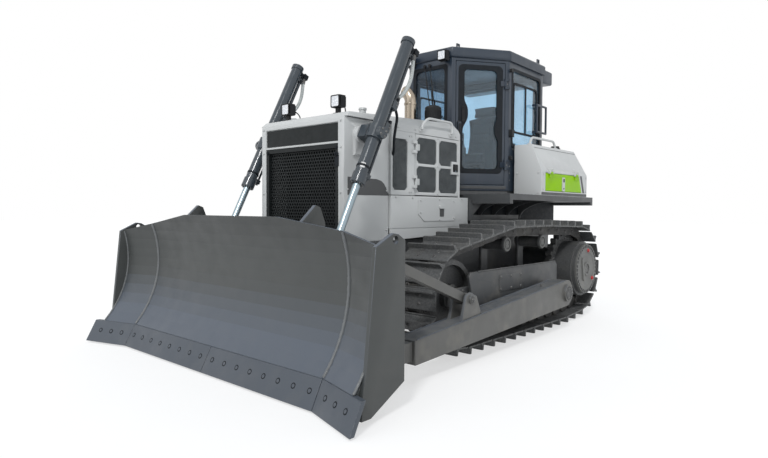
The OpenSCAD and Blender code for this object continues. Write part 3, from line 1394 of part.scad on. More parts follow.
main_frame();
engine_block();
drawbar();
track_frames();
track_left();
track_right();
final_drives();
idlers();
rollers();
radiator_shell();
radiator_core();
radiator_grille();
hood_top();
hood_fronts();
lower_panels();
exhaust();
precleaner();
work_lamps();
handrails();
platform();
tank_boxes();
fuel_tank();
cab_frame();
cab_roof();
cab_glass();
seat();
controls();
moldboard();
blade_frame();
cutting_edges();
end_plates();
push_arms();
braces();
lift_barrel_left();
lift_barrel_right();
lift_rod_left();
lift_rod_right();
cab_door_left();
cab_door_right();
door_glass_left();
door_glass_right();
hood_door_left();
hood_door_right();
tank_lid_left();
tank_lid_right();
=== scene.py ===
"""Looks of a crawler bulldozer: finishes, rounded panels, track shoes, fasteners, hoses, glass and seat.

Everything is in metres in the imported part's frame: +X forward, +Y to the machine's left, +Z up.
Places along X are given from the sprocket axle, as in the part's source, and at() shifts them.
"""

import json
import math
import random
from itertools import product

import bmesh
import bpy
from mathutils import Matrix, Vector


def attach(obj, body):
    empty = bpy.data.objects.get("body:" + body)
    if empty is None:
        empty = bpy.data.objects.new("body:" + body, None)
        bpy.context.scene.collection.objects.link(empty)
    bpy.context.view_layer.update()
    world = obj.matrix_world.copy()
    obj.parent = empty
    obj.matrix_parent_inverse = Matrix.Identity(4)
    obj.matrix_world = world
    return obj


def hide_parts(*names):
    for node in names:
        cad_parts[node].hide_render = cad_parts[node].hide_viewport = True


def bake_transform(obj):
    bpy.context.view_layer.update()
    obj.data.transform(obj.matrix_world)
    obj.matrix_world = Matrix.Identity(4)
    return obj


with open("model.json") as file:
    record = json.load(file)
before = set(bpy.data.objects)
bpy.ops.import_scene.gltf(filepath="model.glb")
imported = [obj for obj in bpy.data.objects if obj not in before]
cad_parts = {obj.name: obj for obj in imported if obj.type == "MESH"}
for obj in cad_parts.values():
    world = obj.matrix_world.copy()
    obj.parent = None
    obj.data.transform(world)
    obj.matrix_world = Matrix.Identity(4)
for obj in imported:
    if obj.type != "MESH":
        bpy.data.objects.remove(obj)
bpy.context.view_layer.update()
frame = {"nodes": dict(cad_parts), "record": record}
NODES = frame["nodes"]
BODY_OF = {node: body for body, nodes in frame["record"]["behaviour"]["bodies"].items() for node in nodes}

AXLE_X = -1.90474
SIDES = {"left": 1, "right": -1}
RNG = random.Random(17)


def at(x, y, z):
    """A point given from the sprocket axle, in the part's frame."""
    return Vector((x + AXLE_X, y, z))


def mirrored(side):
    """The same point on one side of the machine: y is given outwards."""
    return lambda x, y, z: at(x, SIDES[side] * y, z)


# Camera and light

IMAGE_W = 768
FOCAL_PX = 581.465
CAMERA_AT = at(6.750, 4.010, 1.279)
CAMERA_YAW, CAMERA_PITCH, CAMERA_ROLL = 41.611, -1.798, 0.372
SHIFT_PX = (-0.43, -0.98)


def make_camera():
    yaw, pitch, roll = (math.radians(a) for a in (CAMERA_YAW, CAMERA_PITCH, CAMERA_ROLL))
    forward = Vector((-math.cos(yaw) * math.cos(pitch), -math.sin(yaw) * math.cos(pitch), math.sin(pitch)))
    right = forward.cross(Vector((0, 0, 1))).normalized()
    up = right.cross(forward)
    right_r = right * math.cos(roll) + up * math.sin(roll)
    up_r = up * math.cos(roll) - right * math.sin(roll)
    data = bpy.data.cameras.new("camera")
    data.sensor_fit = "HORIZONTAL"
    data.sensor_width = 36.0
    data.lens = FOCAL_PX * data.sensor_width / IMAGE_W
    data.shift_x = -SHIFT_PX[0] / IMAGE_W
    data.shift_y = SHIFT_PX[1] / IMAGE_W
    camera = bpy.data.objects.new("camera", data)
    basis = Matrix((right_r, up_r, -forward)).transposed()
    camera.matrix_world = Matrix.Translation(CAMERA_AT) @ basis.to_4x4()
    bpy.context.scene.collection.objects.link(camera)
    bpy.context.scene.camera = camera


def make_light():
    scene = bpy.context.scene
    scene.view_settings.view_transform = "Standard"
    world = bpy.data.worlds.new("studio")
    scene.world = world
    world.use_nodes = True
    nodes, links = world.node_tree.nodes, world.node_tree.links
    nodes.clear()
    path = nodes.new("ShaderNodeLightPath")
    seen = path.outputs["Is Camera Ray"]
    for ray in ("Is Transmission Ray", "Is Glossy Ray"):
        either = nodes.new("ShaderNodeMath")
        either.operation = "MAXIMUM"
        links.new(seen, either.inputs[0])
        links.new(path.outputs[ray], either.inputs[1])
        seen = either.outputs[0]
    sky = nodes.new("ShaderNodeBackground")
    sky.inputs["Color"].default_value = (0.90, 0.95, 1.0, 1)
    sky.inputs["Strength"].default_value = 0.60
    white = nodes.new("ShaderNodeBackground")
    white.inputs["Color"].default_value = (1, 1, 1, 1)
    white.inputs["Strength"].default_value = 1.0
    mix = nodes.new("ShaderNodeMixShader")
    links.new(seen, mix.inputs[0])
    links.new(sky.outputs[0], mix.inputs[1])
    links.new(white.outputs[0], mix.inputs[2])
    out = nodes.new("ShaderNodeOutputWorld")
    links.new(mix.outputs[0], out.inputs["Surface"])

    def sun(name, direction, strength, angle):
        data = bpy.data.lights.new(name, "SUN")
        data.energy = strength
        data.angle = math.radians(angle)
        lamp = bpy.data.objects.new(name, data)
        lamp.rotation_euler = Vector(direction).to_track_quat("-Z", "Y").to_euler()
        scene.collection.objects.link(lamp)

    sun("key_sun", (-0.72, -0.38, -0.72), 1.5, 8)
    sun("front_fill", (-0.9, 0.25, -0.5), 0.32, 40)
    sun("side_fill", (-0.15, -1.0, -0.05), 0.27, 40)


# Materials


class Shader:
    """A node material under construction, with short ways to add what most finishes share."""

    def __init__(self, name, rough, metal=0.0):
        self.material = bpy.data.materials.new(name)
        self.material.use_nodes = True
        self.nodes = self.material.node_tree.nodes
        self.links = self.material.node_tree.links
        self.bsdf = self.nodes["Principled BSDF"]
        self.bsdf.inputs["Roughness"].default_value = rough
        self.bsdf.inputs["Metallic"].default_value = metal
        self.coords = self.nodes.new("ShaderNodeTexCoord").outputs["Object"]
        self.rounded = None

    def noise(self, scale, detail=4.0, stretch=None):
        node = self.nodes.new("ShaderNodeTexNoise")
        node.inputs["Scale"].default_value = scale
        node.inputs["Detail"].default_value = detail
        source = self.coords
        if stretch:
            mapping = self.nodes.new("ShaderNodeMapping")
            mapping.inputs["Scale"].default_value = stretch
            self.links.new(source, mapping.inputs["Vector"])
            source = mapping.outputs["Vector"]
        self.links.new(source, node.inputs["Vector"])
        return node.outputs["Fac"]

    def ramp(self, value, low, high, to_low=0.0, to_high=1.0):
        node = self.nodes.new("ShaderNodeMapRange")
        for key, number in (("From Min", low), ("From Max", high), ("To Min", to_low), ("To Max", to_high)):
            node.inputs[key].default_value = number
        self.links.new(value, node.inputs["Value"])
        return node.outputs["Result"]

    def math(self, operation, a, b):
        node = self.nodes.new("ShaderNodeMath")
        node.operation = operation
        node.use_clamp = True
        for socket, value in zip(node.inputs, (a, b)):
            if isinstance(value, (int, float)):
                socket.default_value = value
            else:
                self.links.new(value, socket)
        return node.outputs[0]

    def times(self, a, b):
        return self.math("MULTIPLY", a, b)

    def mix(self, factor, a, b):
        node = self.nodes.new("ShaderNodeMix")
        node.data_type = "RGBA"
        self.links.new(factor, node.inputs["Factor"])
        for key, value in (("A", a), ("B", b)):
            socket = [i for i in node.inputs if i.name == key and i.type == "RGBA"][0]
            if isinstance(value, tuple):
                socket.default_value = (*value, 1)
            else:
                self.links.new(value, socket)
        return [o for o in node.outputs if o.type == "RGBA"][0]

    def height(self):
        split = self.nodes.new("ShaderNodeSeparateXYZ")
        self.links.new(self.coords, split.inputs[0])
        return split.outputs["Z"]

    def geometry_normal(self):
        return self.nodes.new("ShaderNodeNewGeometry").outputs["Normal"]

    def facing_up(self):
        split = self.nodes.new("ShaderNodeSeparateXYZ")
        self.links.new(self.geometry_normal(), split.inputs[0])
        return split.outputs["Z"]

    def edges(self, radius):
        """How close a point lies to an edge, from the normal that a rounded edge would have."""
        bevel = self.nodes.new("ShaderNodeBevel")
        bevel.samples = 4
        bevel.inputs["Radius"].default_value = radius
        self.rounded = bevel.outputs["Normal"]
        dot = self.nodes.new("ShaderNodeVectorMath")
        dot.operation = "DOT_PRODUCT"
        self.links.new(self.rounded, dot.inputs[0])
        self.links.new(self.geometry_normal(), dot.inputs[1])
        return self.ramp(dot.outputs["Value"], 0.985, 0.86)

    def colour(self, value):
        self.links.new(value, self.bsdf.inputs["Base Color"])

    def roughness(self, value):
        self.links.new(value, self.bsdf.inputs["Roughness"])

    def bump(self, value, strength, distance):
        node = self.nodes.new("ShaderNodeBump")
        node.inputs["Strength"].default_value = strength
        node.inputs["Distance"].default_value = distance
        self.links.new(value, node.inputs["Height"])
        if self.rounded:
            self.links.new(self.rounded, node.inputs["Normal"])
        self.links.new(node.outputs["Normal"], self.bsdf.inputs["Normal"])


DUST = (0.27, 0.25, 0.21)
# The cool tone of a painted sky reflection, which paint() gives to faces turned up.
PAINTED_SKY_TONE = (0.088, 0.108, 0.142)
BARE_STEEL = (0.33, 0.32, 0.31)


def paint(name, colour, rough, dust=0.25, wear=0.35, deep=0.90, gloss=0.5, edge=0.005, sky=0.0):
    """Sprayed paint: a little uneven, dusty low down and on flat tops, worn to steel on sharp edges.

    With sky, light is painted into the colour: what faces up is painted the cool tone that the open sky gives
    it, a painted sky reflection, and what faces down is painted darker, as painted shade.
    """
    s = Shader(name, rough)
    s.bsdf.inputs["Specular IOR Level"].default_value = gloss
    cloudy = s.ramp(s.noise(1.9, 5), 0.32, 0.72)
    base = s.mix(cloudy, tuple(c * deep for c in colour), colour)
    if sky:
        # Painted sky reflection: faces turned up are painted the sky's cool tone.
        base = s.mix(s.times(s.ramp(s.facing_up(), 0.12, 0.52), sky), base, PAINTED_SKY_TONE)
        # Painted shade: faces turned down are painted darker.
        base = s.mix(s.times(s.ramp(s.facing_up(), -0.18, -0.34), sky), base, tuple(c * 0.8 for c in colour))
    runs = s.times(s.ramp(s.noise(14.0, 5, (1, 1, 0.09)), 0.58, 0.80), dust)
    base = s.mix(runs, base, tuple(0.6 * c + 0.4 * d for c, d in zip(colour, DUST)))
    low_down = s.ramp(s.height(), 1.2, 0.1)
    patches = s.times(s.ramp(s.noise(5.5, 8), 0.5, 0.78), low_down)
    top = s.times(s.ramp(s.facing_up(), 0.6, 0.98), s.ramp(s.noise(9.0, 7), 0.42, 0.72))
    settled = s.math("MAXIMUM", patches, s.times(top, s.ramp(s.height(), 1.6, 0.3)))
    base = s.mix(s.times(settled, dust * 2.2), base, DUST)
    chipped = s.times(s.times(s.edges(edge), s.ramp(s.noise(31.0, 6), 0.45, 0.62)), wear)
    base = s.mix(chipped, base, BARE_STEEL)
    s.colour(base)
    s.roughness(s.ramp(s.noise(7.0, 6), 0.3, 0.7, rough - 0.07, rough + 0.1))
    s.bump(s.noise(420.0, 2), 0.05, 0.0006)
    return s.material


def worn_steel(name, colour, bright, rough, grain=60.0, amount=0.8, soil=0.5, metal=0.45):
    """Bare track steel: dark scale, polished where it rubs, with dry soil in patches."""
    s = Shader(name, rough, metal)
    scale = s.ramp(s.noise(grain, 8), 0.35, 0.7)
    base = s.mix(scale, tuple(c * 0.62 for c in colour), colour)
    base = s.mix(s.times(s.edges(0.004), amount), base, bright)
    base = s.mix(s.times(s.ramp(s.noise(6.0, 8), 0.50, 0.72), soil), base, DUST)
    s.colour(base)
    s.roughness(s.ramp(s.noise(24.0, 6), 0.3, 0.7, rough - 0.12, rough + 0.18))
    s.bump(s.noise(grain * 3, 6), 0.30, 0.0015)
    return s.material


def plastic(name, colour, rough, grain=900.0, strength=0.15):
    """Moulded plastic or rubber with a fine leathery grain."""
    s = Shader(name, rough)
    s.bsdf.inputs["Specular IOR Level"].default_value = 0.22
    s.colour(s.mix(s.ramp(s.noise(11.0, 4), 0.35, 0.7), tuple(c * 0.75 for c in colour), colour))
    s.roughness(s.ramp(s.noise(30.0, 4), 0.3, 0.7, rough - 0.08, rough + 0.1))
    s.bump(s.noise(grain, 2), strength, 0.0006)
    return s.material


def polished(name, colour, rough):
    """Chromed or polished steel with drawn streaks along the part."""
    s = Shader(name, rough, 1.0)
    streaks = s.noise(120.0, 3, (1, 1, 0.04))
    s.colour(s.mix(s.ramp(streaks, 0.3, 0.7), tuple(c * 0.95 for c in colour), colour))
    s.roughness(s.ramp(streaks, 0.3, 0.7, rough, rough + 0.04))
    return s.material


def window_glass(name, tint, rough, clear):
    """Tinted glass that carries a thin film of dust."""
    s = Shader(name, rough)
    s.bsdf.inputs["Transmission Weight"].default_value = clear
    s.bsdf.inputs["IOR"].default_value = 1.30
    s.bsdf.inputs["Specular IOR Level"].default_value = 0.4
    s.bsdf.inputs["Coat Weight"].default_value = 0.1
    s.colour(s.mix(s.ramp(s.noise(3.0, 5), 0.35, 0.75), tint, tuple(c * 0.88 for c in tint)))
    s.roughness(s.ramp(s.noise(4.0, 6), 0.4, 0.8, rough, rough + 0.04))
    return s.material


def lens_white(name):
    s = Shader(name, 0.18)
    cells = s.nodes.new("ShaderNodeTexVoronoi")
    cells.inputs["Scale"].default_value = 52.0
    s.links.new(s.coords, cells.inputs["Vector"])
    s.colour(s.mix(s.ramp(cells.outputs["Distance"], 0.1, 0.6), (0.95, 0.95, 0.97), (0.66, 0.68, 0.71)))
    s.bsdf.inputs["Coat Weight"].default_value = 0.8
    return s.material


def woven(name, colour, scale, rough=0.92, sheen=0.35, contrast=0.6):
    """Seat cloth, or the braid of a hose: fine ribs that cross."""
    s = Shader(name, rough)
    ribs = []
    for turn in ((0.6, 0.6, 1.0), (-0.6, 0.6, 1.0)):
        wave = s.nodes.new("ShaderNodeTexWave")
        wave.inputs["Scale"].default_value = scale
        wave.inputs["Distortion"].default_value = 0.8
        mapping = s.nodes.new("ShaderNodeMapping")
        mapping.inputs["Scale"].default_value = turn
        mapping.inputs["Rotation"].default_value = (0, 0.7 * turn[0], 0.5)
        s.links.new(s.coords, mapping.inputs["Vector"])
        s.links.new(mapping.outputs["Vector"], wave.inputs["Vector"])
        ribs.append(wave.outputs["Fac"])
    weave = s.math("MAXIMUM", ribs[0], ribs[1])
    s.colour(s.mix(s.ramp(weave, 0.2, 0.9), tuple(c * contrast for c in colour), colour))
    s.bsdf.inputs["Sheen Weight"].default_value = sheen
    s.bump(weave, 0.4, 0.0012)
    return s.material


LIGHT = paint("light_paint", (0.555, 0.565, 0.562), 0.40, dust=0.10, wear=0.15, deep=0.95, gloss=0.4)
DARK = paint("dark_paint", (0.060, 0.063, 0.066), 0.45, dust=0.2, wear=0.35)
# sky paints a sky reflection on the blade's upward faces and painted shade on its undersides.
BLADE = paint("blade_paint", (0.050, 0.054, 0.053), 0.38, dust=0.015, wear=0.2, deep=0.95, sky=0.75)
# Lighter than the blade paint: a painted highlight along the blade's weld beads.
WELD_HIGHLIGHT = paint("weld_highlight_paint", (0.135, 0.142, 0.146), 0.34, dust=0.02, wear=0.3)
# sky paints a sky reflection on the arms' upward faces and painted shade on their undersides.
ARM = paint("arm_paint", (0.105, 0.104, 0.098), 0.42, dust=0.16, wear=0.25, sky=0.4)
HUB = paint("hub_paint", (0.125, 0.126, 0.120), 0.45, dust=0.15, wear=0.3)
CAB = paint("cab_paint", (0.022, 0.034, 0.052), 0.36, dust=0.08, wear=0.12)
SLATE = paint("slate_paint", (0.044, 0.056, 0.068), 0.17, dust=0.04, wear=0.12)
LIME = paint("lime_paint", (0.29, 0.58, 0.0), 0.42, dust=0.03, wear=0.15, gloss=0.18)
RED = paint("red_paint", (0.45, 0.02, 0.02), 0.4, dust=0.1, wear=0.1)
SHOE = worn_steel("shoe_steel", (0.135, 0.139, 0.141), (0.36, 0.36, 0.35), 0.55, soil=0.13)
LINK = worn_steel("link_steel", (0.050, 0.050, 0.050), (0.28, 0.27, 0.26), 0.5, 40.0, soil=0.15)
CAST = worn_steel("cast_steel", (0.085, 0.087, 0.088), (0.24, 0.24, 0.23), 0.5, 90.0, 0.4, 0.12, 0.2)
EDGE = paint("edge_paint", (0.060, 0.072, 0.090), 0.42, dust=0.03, wear=0.45, deep=0.93)
BOLT = worn_steel("bolt_steel", (0.13, 0.13, 0.13), (0.36, 0.36, 0.36), 0.42, 150.0, 0.6, 0.2)
BLACK = plastic("black_plastic", (0.018, 0.019, 0.021), 0.5)
RUBBER = plastic("black_rubber", (0.010, 0.013, 0.017), 0.62, 600.0, 0.25)
GUARD = plastic("grille_coat", (0.015, 0.018, 0.019), 0.48, 500.0, 0.1)
MESH = plastic("mesh_coat", (0.185, 0.200, 0.206), 0.6, 500.0, 0.1)
BLANK = plastic("blank_plate", (0.75, 0.75, 0.74), 0.45, 500.0, 0.05)
# Painted reflection: the chrome's blue-grey base colour stands for the sky that it reflects.
CHROME_SKY_TINT = polished("chrome", (0.30, 0.37, 0.41), 0.30)
STACK = polished("stack_steel", (0.36, 0.31, 0.25), 0.24)
GLASS = window_glass("cab_glass", (0.60, 0.78, 0.91), 0.01, 0.96)
SCREEN = window_glass("windshield_glass", (0.32, 0.44, 0.56), 0.01, 0.96)
LENS = lens_white("lamp_lens")
CLOTH = woven("seat_cloth", (0.035, 0.036, 0.040), 220.0)
BRAID = woven("hose_braid", (0.50, 0.53, 0.52), 70.0, 0.5, 0.0, 0.45)
SLOTS = {
    "light_paint": (LIGHT, BLANK),
    "dark_paint": (DARK, BLADE, WELD_HIGHLIGHT, ARM, HUB, CAB, SLATE, CAST, RED),
    "lime_paint": (LIME,),
    "track_steel": (SHOE, LINK, EDGE, BOLT),
    "black_parts": (BLACK, RUBBER, GUARD, MESH, BRAID),
    "polished": (CHROME_SKY_TINT, STACK, LENS),
    "glazing": (GLASS, SCREEN),
    "upholstery": (CLOTH,),
}
SLOT_OF = {material.name: slot for slot, materials in SLOTS.items() for material in materials}

# Mesh helpers: q is a mapper such as at() that turns (x, y, z), or (along, out, z), into a point


def new_piece(name, bm, material, body, smooth=35, bevel=0.0):
    """Turns a bmesh into a shaded piece that rides on a body, if one is named."""
    mesh = bpy.data.meshes.new(name)
    bmesh.ops.recalc_face_normals(bm, faces=bm.faces)
    bm.to_mesh(mesh)
    bm.free()
    mesh.materials.append(material)
    piece = bpy.data.objects.new(name, mesh)
    bpy.context.scene.collection.objects.link(piece)
    if smooth:
        for polygon in mesh.polygons:
            polygon.use_smooth = True
        mesh.set_sharp_from_angle(angle=math.radians(smooth))
    if bevel:
        mod = piece.modifiers.new("edges", "BEVEL")
        mod.width = bevel
        mod.segments = 2
        mod.harden_normals = True
        mod.limit_method = "ANGLE"
        mod.angle_limit = math.radians(40)
    if body:
        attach(piece, body)
    return piece


HEAPS = {}


def heap(name, material, body="chassis", bevel=0.0, smooth=35):
    """The bmesh of a piece that several calls add to; close_heaps() makes the pieces."""
    if name not in HEAPS:
        HEAPS[name] = (bmesh.new(), material, body, smooth, bevel)
    return HEAPS[name][0]


def close_heaps():
    return {name: new_piece(name, *parts) for name, parts in HEAPS.items()}


def slab(bm, near, far):
    """A closed prism between two outlines with the same number of points."""
    low, high = [bm.verts.new(p) for p in near], [bm.verts.new(p) for p in far]
    bm.faces.new(low)
    bm.faces.new(high[::-1])
    for i in range(len(low)):
        j = (i + 1) % len(low)
        bm.faces.new((low[j], low[i], high[i], high[j]))


def side_slab(bm, q, outline, y0, y1):
    slab(bm, [q(x, y0, z) for x, z in outline], [q(x, y1, z) for x, z in outline])


def front_slab(bm, q, outline, x0, x1):
    slab(bm, [q(x0, y, z) for y, z in outline], [q(x1, y, z) for y, z in outline])


def plan_slab(bm, q, outline, z0, z1):
    slab(bm, [q(x, y, z0) for x, y in outline], [q(x, y, z1) for x, y in outline])


def cuboid(bm, q, x, y, z):
    side_slab(bm, q, [(x[0], z[0]), (x[1], z[0]), (x[1], z[1]), (x[0], z[1])], *y)


def ring(bm, outer, inner, outer_far, inner_far):
    """A closed frame between an outer and an inner outline, from their near to their far points."""
    rows = [[bm.verts.new(p) for p in row] for row in (outer, inner, inner_far, outer_far)]
    for i in range(len(outer)):
        j = (i + 1) % len(outer)
        for a, b in zip(rows, rows[1:] + rows[:1]):
            bm.faces.new((a[i], a[j], b[j], b[i]))


def side_ring(bm, q, outer, inner, y0, y1):
    lines = ((outer, y0), (inner, y0), (outer, y1), (inner, y1))
    ring(bm, *[[q(x, y, z) for x, z in line] for line, y in lines])


def front_ring(bm, q, outer, inner, x0, x1):
    lines = ((outer, x0), (inner, x0), (outer, x1), (inner, x1))
    ring(bm, *[[q(x, y, z) for y, z in line] for line, x in lines])


def rounded(a0, a1, b0, b1, r, corner=5, side=1):
    """A rectangle's outline with rounded corners, and more points along its sides if asked."""
    points = []
    for k, (a, b) in enumerate(((a1 - r, b1 - r), (a0 + r, b1 - r), (a0 + r, b0 + r), (a1 - r, b0 + r))):
        for i in range(corner + 1):
            t = math.radians(90 * (k + i / corner))
            points.append((a + r * math.cos(t), b + r * math.sin(t)))
        if side > 1:
            c, d = ((a0 + r, b1), (a0, b0 + r), (a1 - r, b0), (a1, b1 - r))[k]
            e, f = points[-1]
            points += [(e + (c - e) * i / side, f + (d - f) * i / side) for i in range(1, side)]
    return points


def rod(bm, a, b, radius, sides=16, radius_b=None):
    """A closed round bar from a to b."""
    a, b = Vector(a), Vector(b)
    axis = (b - a).normalized()
    u = axis.orthogonal().normalized()
    v = axis.cross(u)
    rings = []
    for centre, r in ((a, radius), (b, radius if radius_b is None else radius_b)):
        rings.append([bm.verts.new(centre + r * (math.cos(t) * u + math.sin(t) * v))
                      for t in (2 * math.pi * k / sides for k in range(sides))])
    bm.faces.new(rings[0][::-1])
    bm.faces.new(rings[1])
    for k in range(sides):
        j = (k + 1) % sides
        bm.faces.new((rings[0][k], rings[0][j], rings[1][j], rings[1][k]))


def bolt(bm, centre, axis, radius=0.011, height=0.010):
    """A hexagon head on its washer, standing on a face."""
    axis, centre = Vector(axis).normalized(), Vector(centre)
    rod(bm, centre - axis * 0.001, centre + axis * height * 0.25, radius * 1.35, 14)
    rod(bm, centre + axis * height * 0.2, centre + axis * height, radius, 6, radius * 0.94)


def bolts(bm, q, places, out, radius=0.011, height=0.010):
    """Bolts at (x, y, z) places whose heads point along out, given in q's own directions."""
    for p in places:
        bolt(bm, q(*p), q(*(a + b for a, b in zip(p, out))) - q(*p), radius, height)


def side_bolts(bm, q, y, places, radius, height):
    """Bolts at (x, z) places on a side face, with their heads outwards."""
    bolts(bm, q, [(x, y, z) for x, z in places], (0, 1, 0), radius, height)


def end_bolts(bm, q, x, places, radius, height, facing=1):
    """Bolts at (y, z) places on a front face, or on a rear one where facing is -1."""
    bolts(bm, q, [(x, y, z) for y, z in places], (facing, 0, 0), radius, height)


def bent(points, radius, steps=5):
    """A path through points with its corners rounded off."""
    points = [Vector(p) for p in points]
    path = [points[0]]
    for a, b, c in zip(points, points[1:], points[2:]):
        cut_a, cut_c = min(radius, (a - b).length * 0.45), min(radius, (c - b).length * 0.45)
        start, end = b + (a - b).normalized() * cut_a, b + (c - b).normalized() * cut_c
        for i in range(steps + 1):
            t = i / steps
            path.append(start * (1 - t) ** 2 + b * 2 * t * (1 - t) + end * t * t)
    return path + [points[-1]]


def smooth_path(points, steps=8):
    """Points along a Catmull-Rom curve through the given ones."""
    points = [Vector(p) for p in points]
    padded = [2 * points[0] - points[1], *points, 2 * points[-1] - points[-2]]
    path = []
    for a, b, c, d in zip(padded, padded[1:], padded[2:], padded[3:]):
        for t in (k / steps for k in range(steps)):
            path.append(0.5 * (2 * b + (c - a) * t + (2 * a - 5 * b + 4 * c - d) * t * t
                               + (3 * b - a - 3 * c + d) * t ** 3))
    return path + [points[-1]]


def tube(bm, path, radius, sides=12, wobble=0.0):
    """A closed tube along a path of points; a wobble makes it a weld bead."""
    path = [Vector(p) for p in path]
    rings = []
    side = (path[1] - path[0]).orthogonal().normalized()
    for i, centre in enumerate(path):
        ahead = (path[min(i + 1, len(path) - 1)] - path[max(i - 1, 0)]).normalized()
        side = (side - ahead * side.dot(ahead)).normalized()
        other = ahead.cross(side)
        r = radius * (1 + RNG.uniform(-wobble, wobble))
        rings.append([bm.verts.new(centre + r * (math.cos(t) * side + math.sin(t) * other))
                      for t in (2 * math.pi * k / sides for k in range(sides))])
    bm.faces.new(rings[0][::-1])
    bm.faces.new(rings[-1])
    for low, high in zip(rings, rings[1:]):
        for k in range(sides):
            j = (k + 1) % sides
            bm.faces.new((low[k], low[j], high[j], high[k]))


def soften(node, width, material, segments=3, shortest=0.05):
    """The CAD shell with its long sharp edges rounded, which stands for the plain one."""
    bm = bmesh.new()
    bm.from_mesh(NODES[node].data)
    bmesh.ops.remove_doubles(bm, verts=bm.verts, dist=1e-5)
    bmesh.ops.dissolve_limit(bm, angle_limit=math.radians(0.6), verts=bm.verts, edges=bm.edges)
    chosen = []
    for edge in bm.edges:
        if len(edge.link_faces) != 2 or edge.calc_length() < shortest:
            continue
        if abs(edge.calc_face_angle(0.0)) < math.radians(25):
            continue
        if min(face.calc_area() for face in edge.link_faces) < shortest * width * 2:
            continue
        near = [e.calc_length() for v in edge.verts for e in v.link_edges if e != edge]
        if min(near, default=1.0) > 2.2 * width:
            chosen.append(edge)
    if chosen:
        bmesh.ops.bevel(bm, geom=chosen, offset=width, segments=segments, profile=0.5, affect="EDGES",
                        clamp_overlap=True)
    piece = new_piece(node + "_shell", bm, material, BODY_OF[node], 32)
    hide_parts(node)


def finish_node(node, material):
    mesh = NODES[node].data
    mesh.materials.clear()
    mesh.materials.append(material)


make_camera()
make_light()

# Inside the cab: seat, armrests, levers, dash

CUSHION_VOXEL, CUSHION_PRESSURE, CUSHION_FRAMES = 0.0075, 4.0, 20


def swollen(name, bm, cap):
    """A cushion: the shape is remeshed and blown up a little as cloth, no further than the cap."""
    mesh = bpy.data.meshes.new(name)
    bmesh.ops.recalc_face_normals(bm, faces=bm.faces)
    bm.to_mesh(mesh)
    bm.free()
    piece = bpy.data.objects.new(name, mesh)
    bpy.context.scene.collection.objects.link(piece)
    remesh = piece.modifiers.new("remesh", "REMESH")
    remesh.mode = "VOXEL"
    remesh.voxel_size = CUSHION_VOXEL
    settle = piece.modifiers.new("settle", "SMOOTH")
    settle.iterations = 6
    graph = bpy.context.evaluated_depsgraph_get()
    start = bpy.data.meshes.new_from_object(piece.evaluated_get(graph))
    piece.modifiers.clear()
    piece.data = start
    rest = [v.co.copy() for v in start.vertices]
    cloth = piece.modifiers.new("cloth", "CLOTH")
    cloth.settings.use_pressure = True
    cloth.settings.uniform_pressure_force = CUSHION_PRESSURE
    cloth.settings.effector_weights.gravity = 0.0
    cloth.settings.quality = 4
    scene = bpy.context.scene
    for number in range(1, CUSHION_FRAMES + 1):
        scene.frame_set(number)
    graph = bpy.context.evaluated_depsgraph_get()
    blown = piece.evaluated_get(graph).to_mesh()
    moved = [v.co.copy() for v in blown.vertices]
    piece.modifiers.clear()
    scene.frame_set(1)
    for vertex, a, b in zip(start.vertices, rest, moved):
        step = b - a
        if step.length > cap:
            step *= cap / step.length
        vertex.co = a + step
    return piece


def sewn(piece, lines, depth=0.010, width=0.010):
    """Presses sewn channels into a cushion: lines are functions of a point that give a distance."""
    for vertex in piece.data.vertices:
        sink = sum(math.exp(-(line(vertex.co) / width) ** 2) for line in lines)
        vertex.co -= vertex.normal * depth * min(sink, 1.0)


def padded_piece(piece, lines):
    sewn(piece, lines)
    piece.data.materials.clear()
    piece.data.materials.append(CLOTH)
    for polygon in piece.data.polygons:
        polygon.use_smooth = True
    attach(piece, "chassis")


def channels(half, axis, places):
    """Sewn channels: one down each side, and some across between them at places along an axis."""
    across = [lambda p, place=place: p[axis] - place if abs(p.y) < half else 1 for place in places]
    return [lambda p: abs(p.y) - half, *across]


def crowned(bm, x, y, z, pinch=0.012):
    """A box whose faces bulge and whose sides pull in between the corners."""
    made = bmesh.ops.create_cube(bm, size=1.0)["verts"]
    edges = list({e for v in made for e in v.link_edges})
    bmesh.ops.subdivide_edges(bm, edges=edges, cuts=6, use_grid_fill=True)
    for v in bm.verts:
        a, b, c = v.co * 2
        side = 1 - pinch * 2 * (1 - abs(c)) * 4 * abs(a * b)
        top = 1 - 0.16 * (a * a + b * b) / 2
        v.co = Vector(((x[0] + x[1]) / 2 + AXLE_X + a * (x[1] - x[0]) / 2 * side,
                       (y[0] + y[1]) / 2 + b * (y[1] - y[0]) / 2 * side,
                       (z[0] + z[1]) / 2 + c * (z[1] - z[0]) / 2 * (top if c > 0 else 1)))


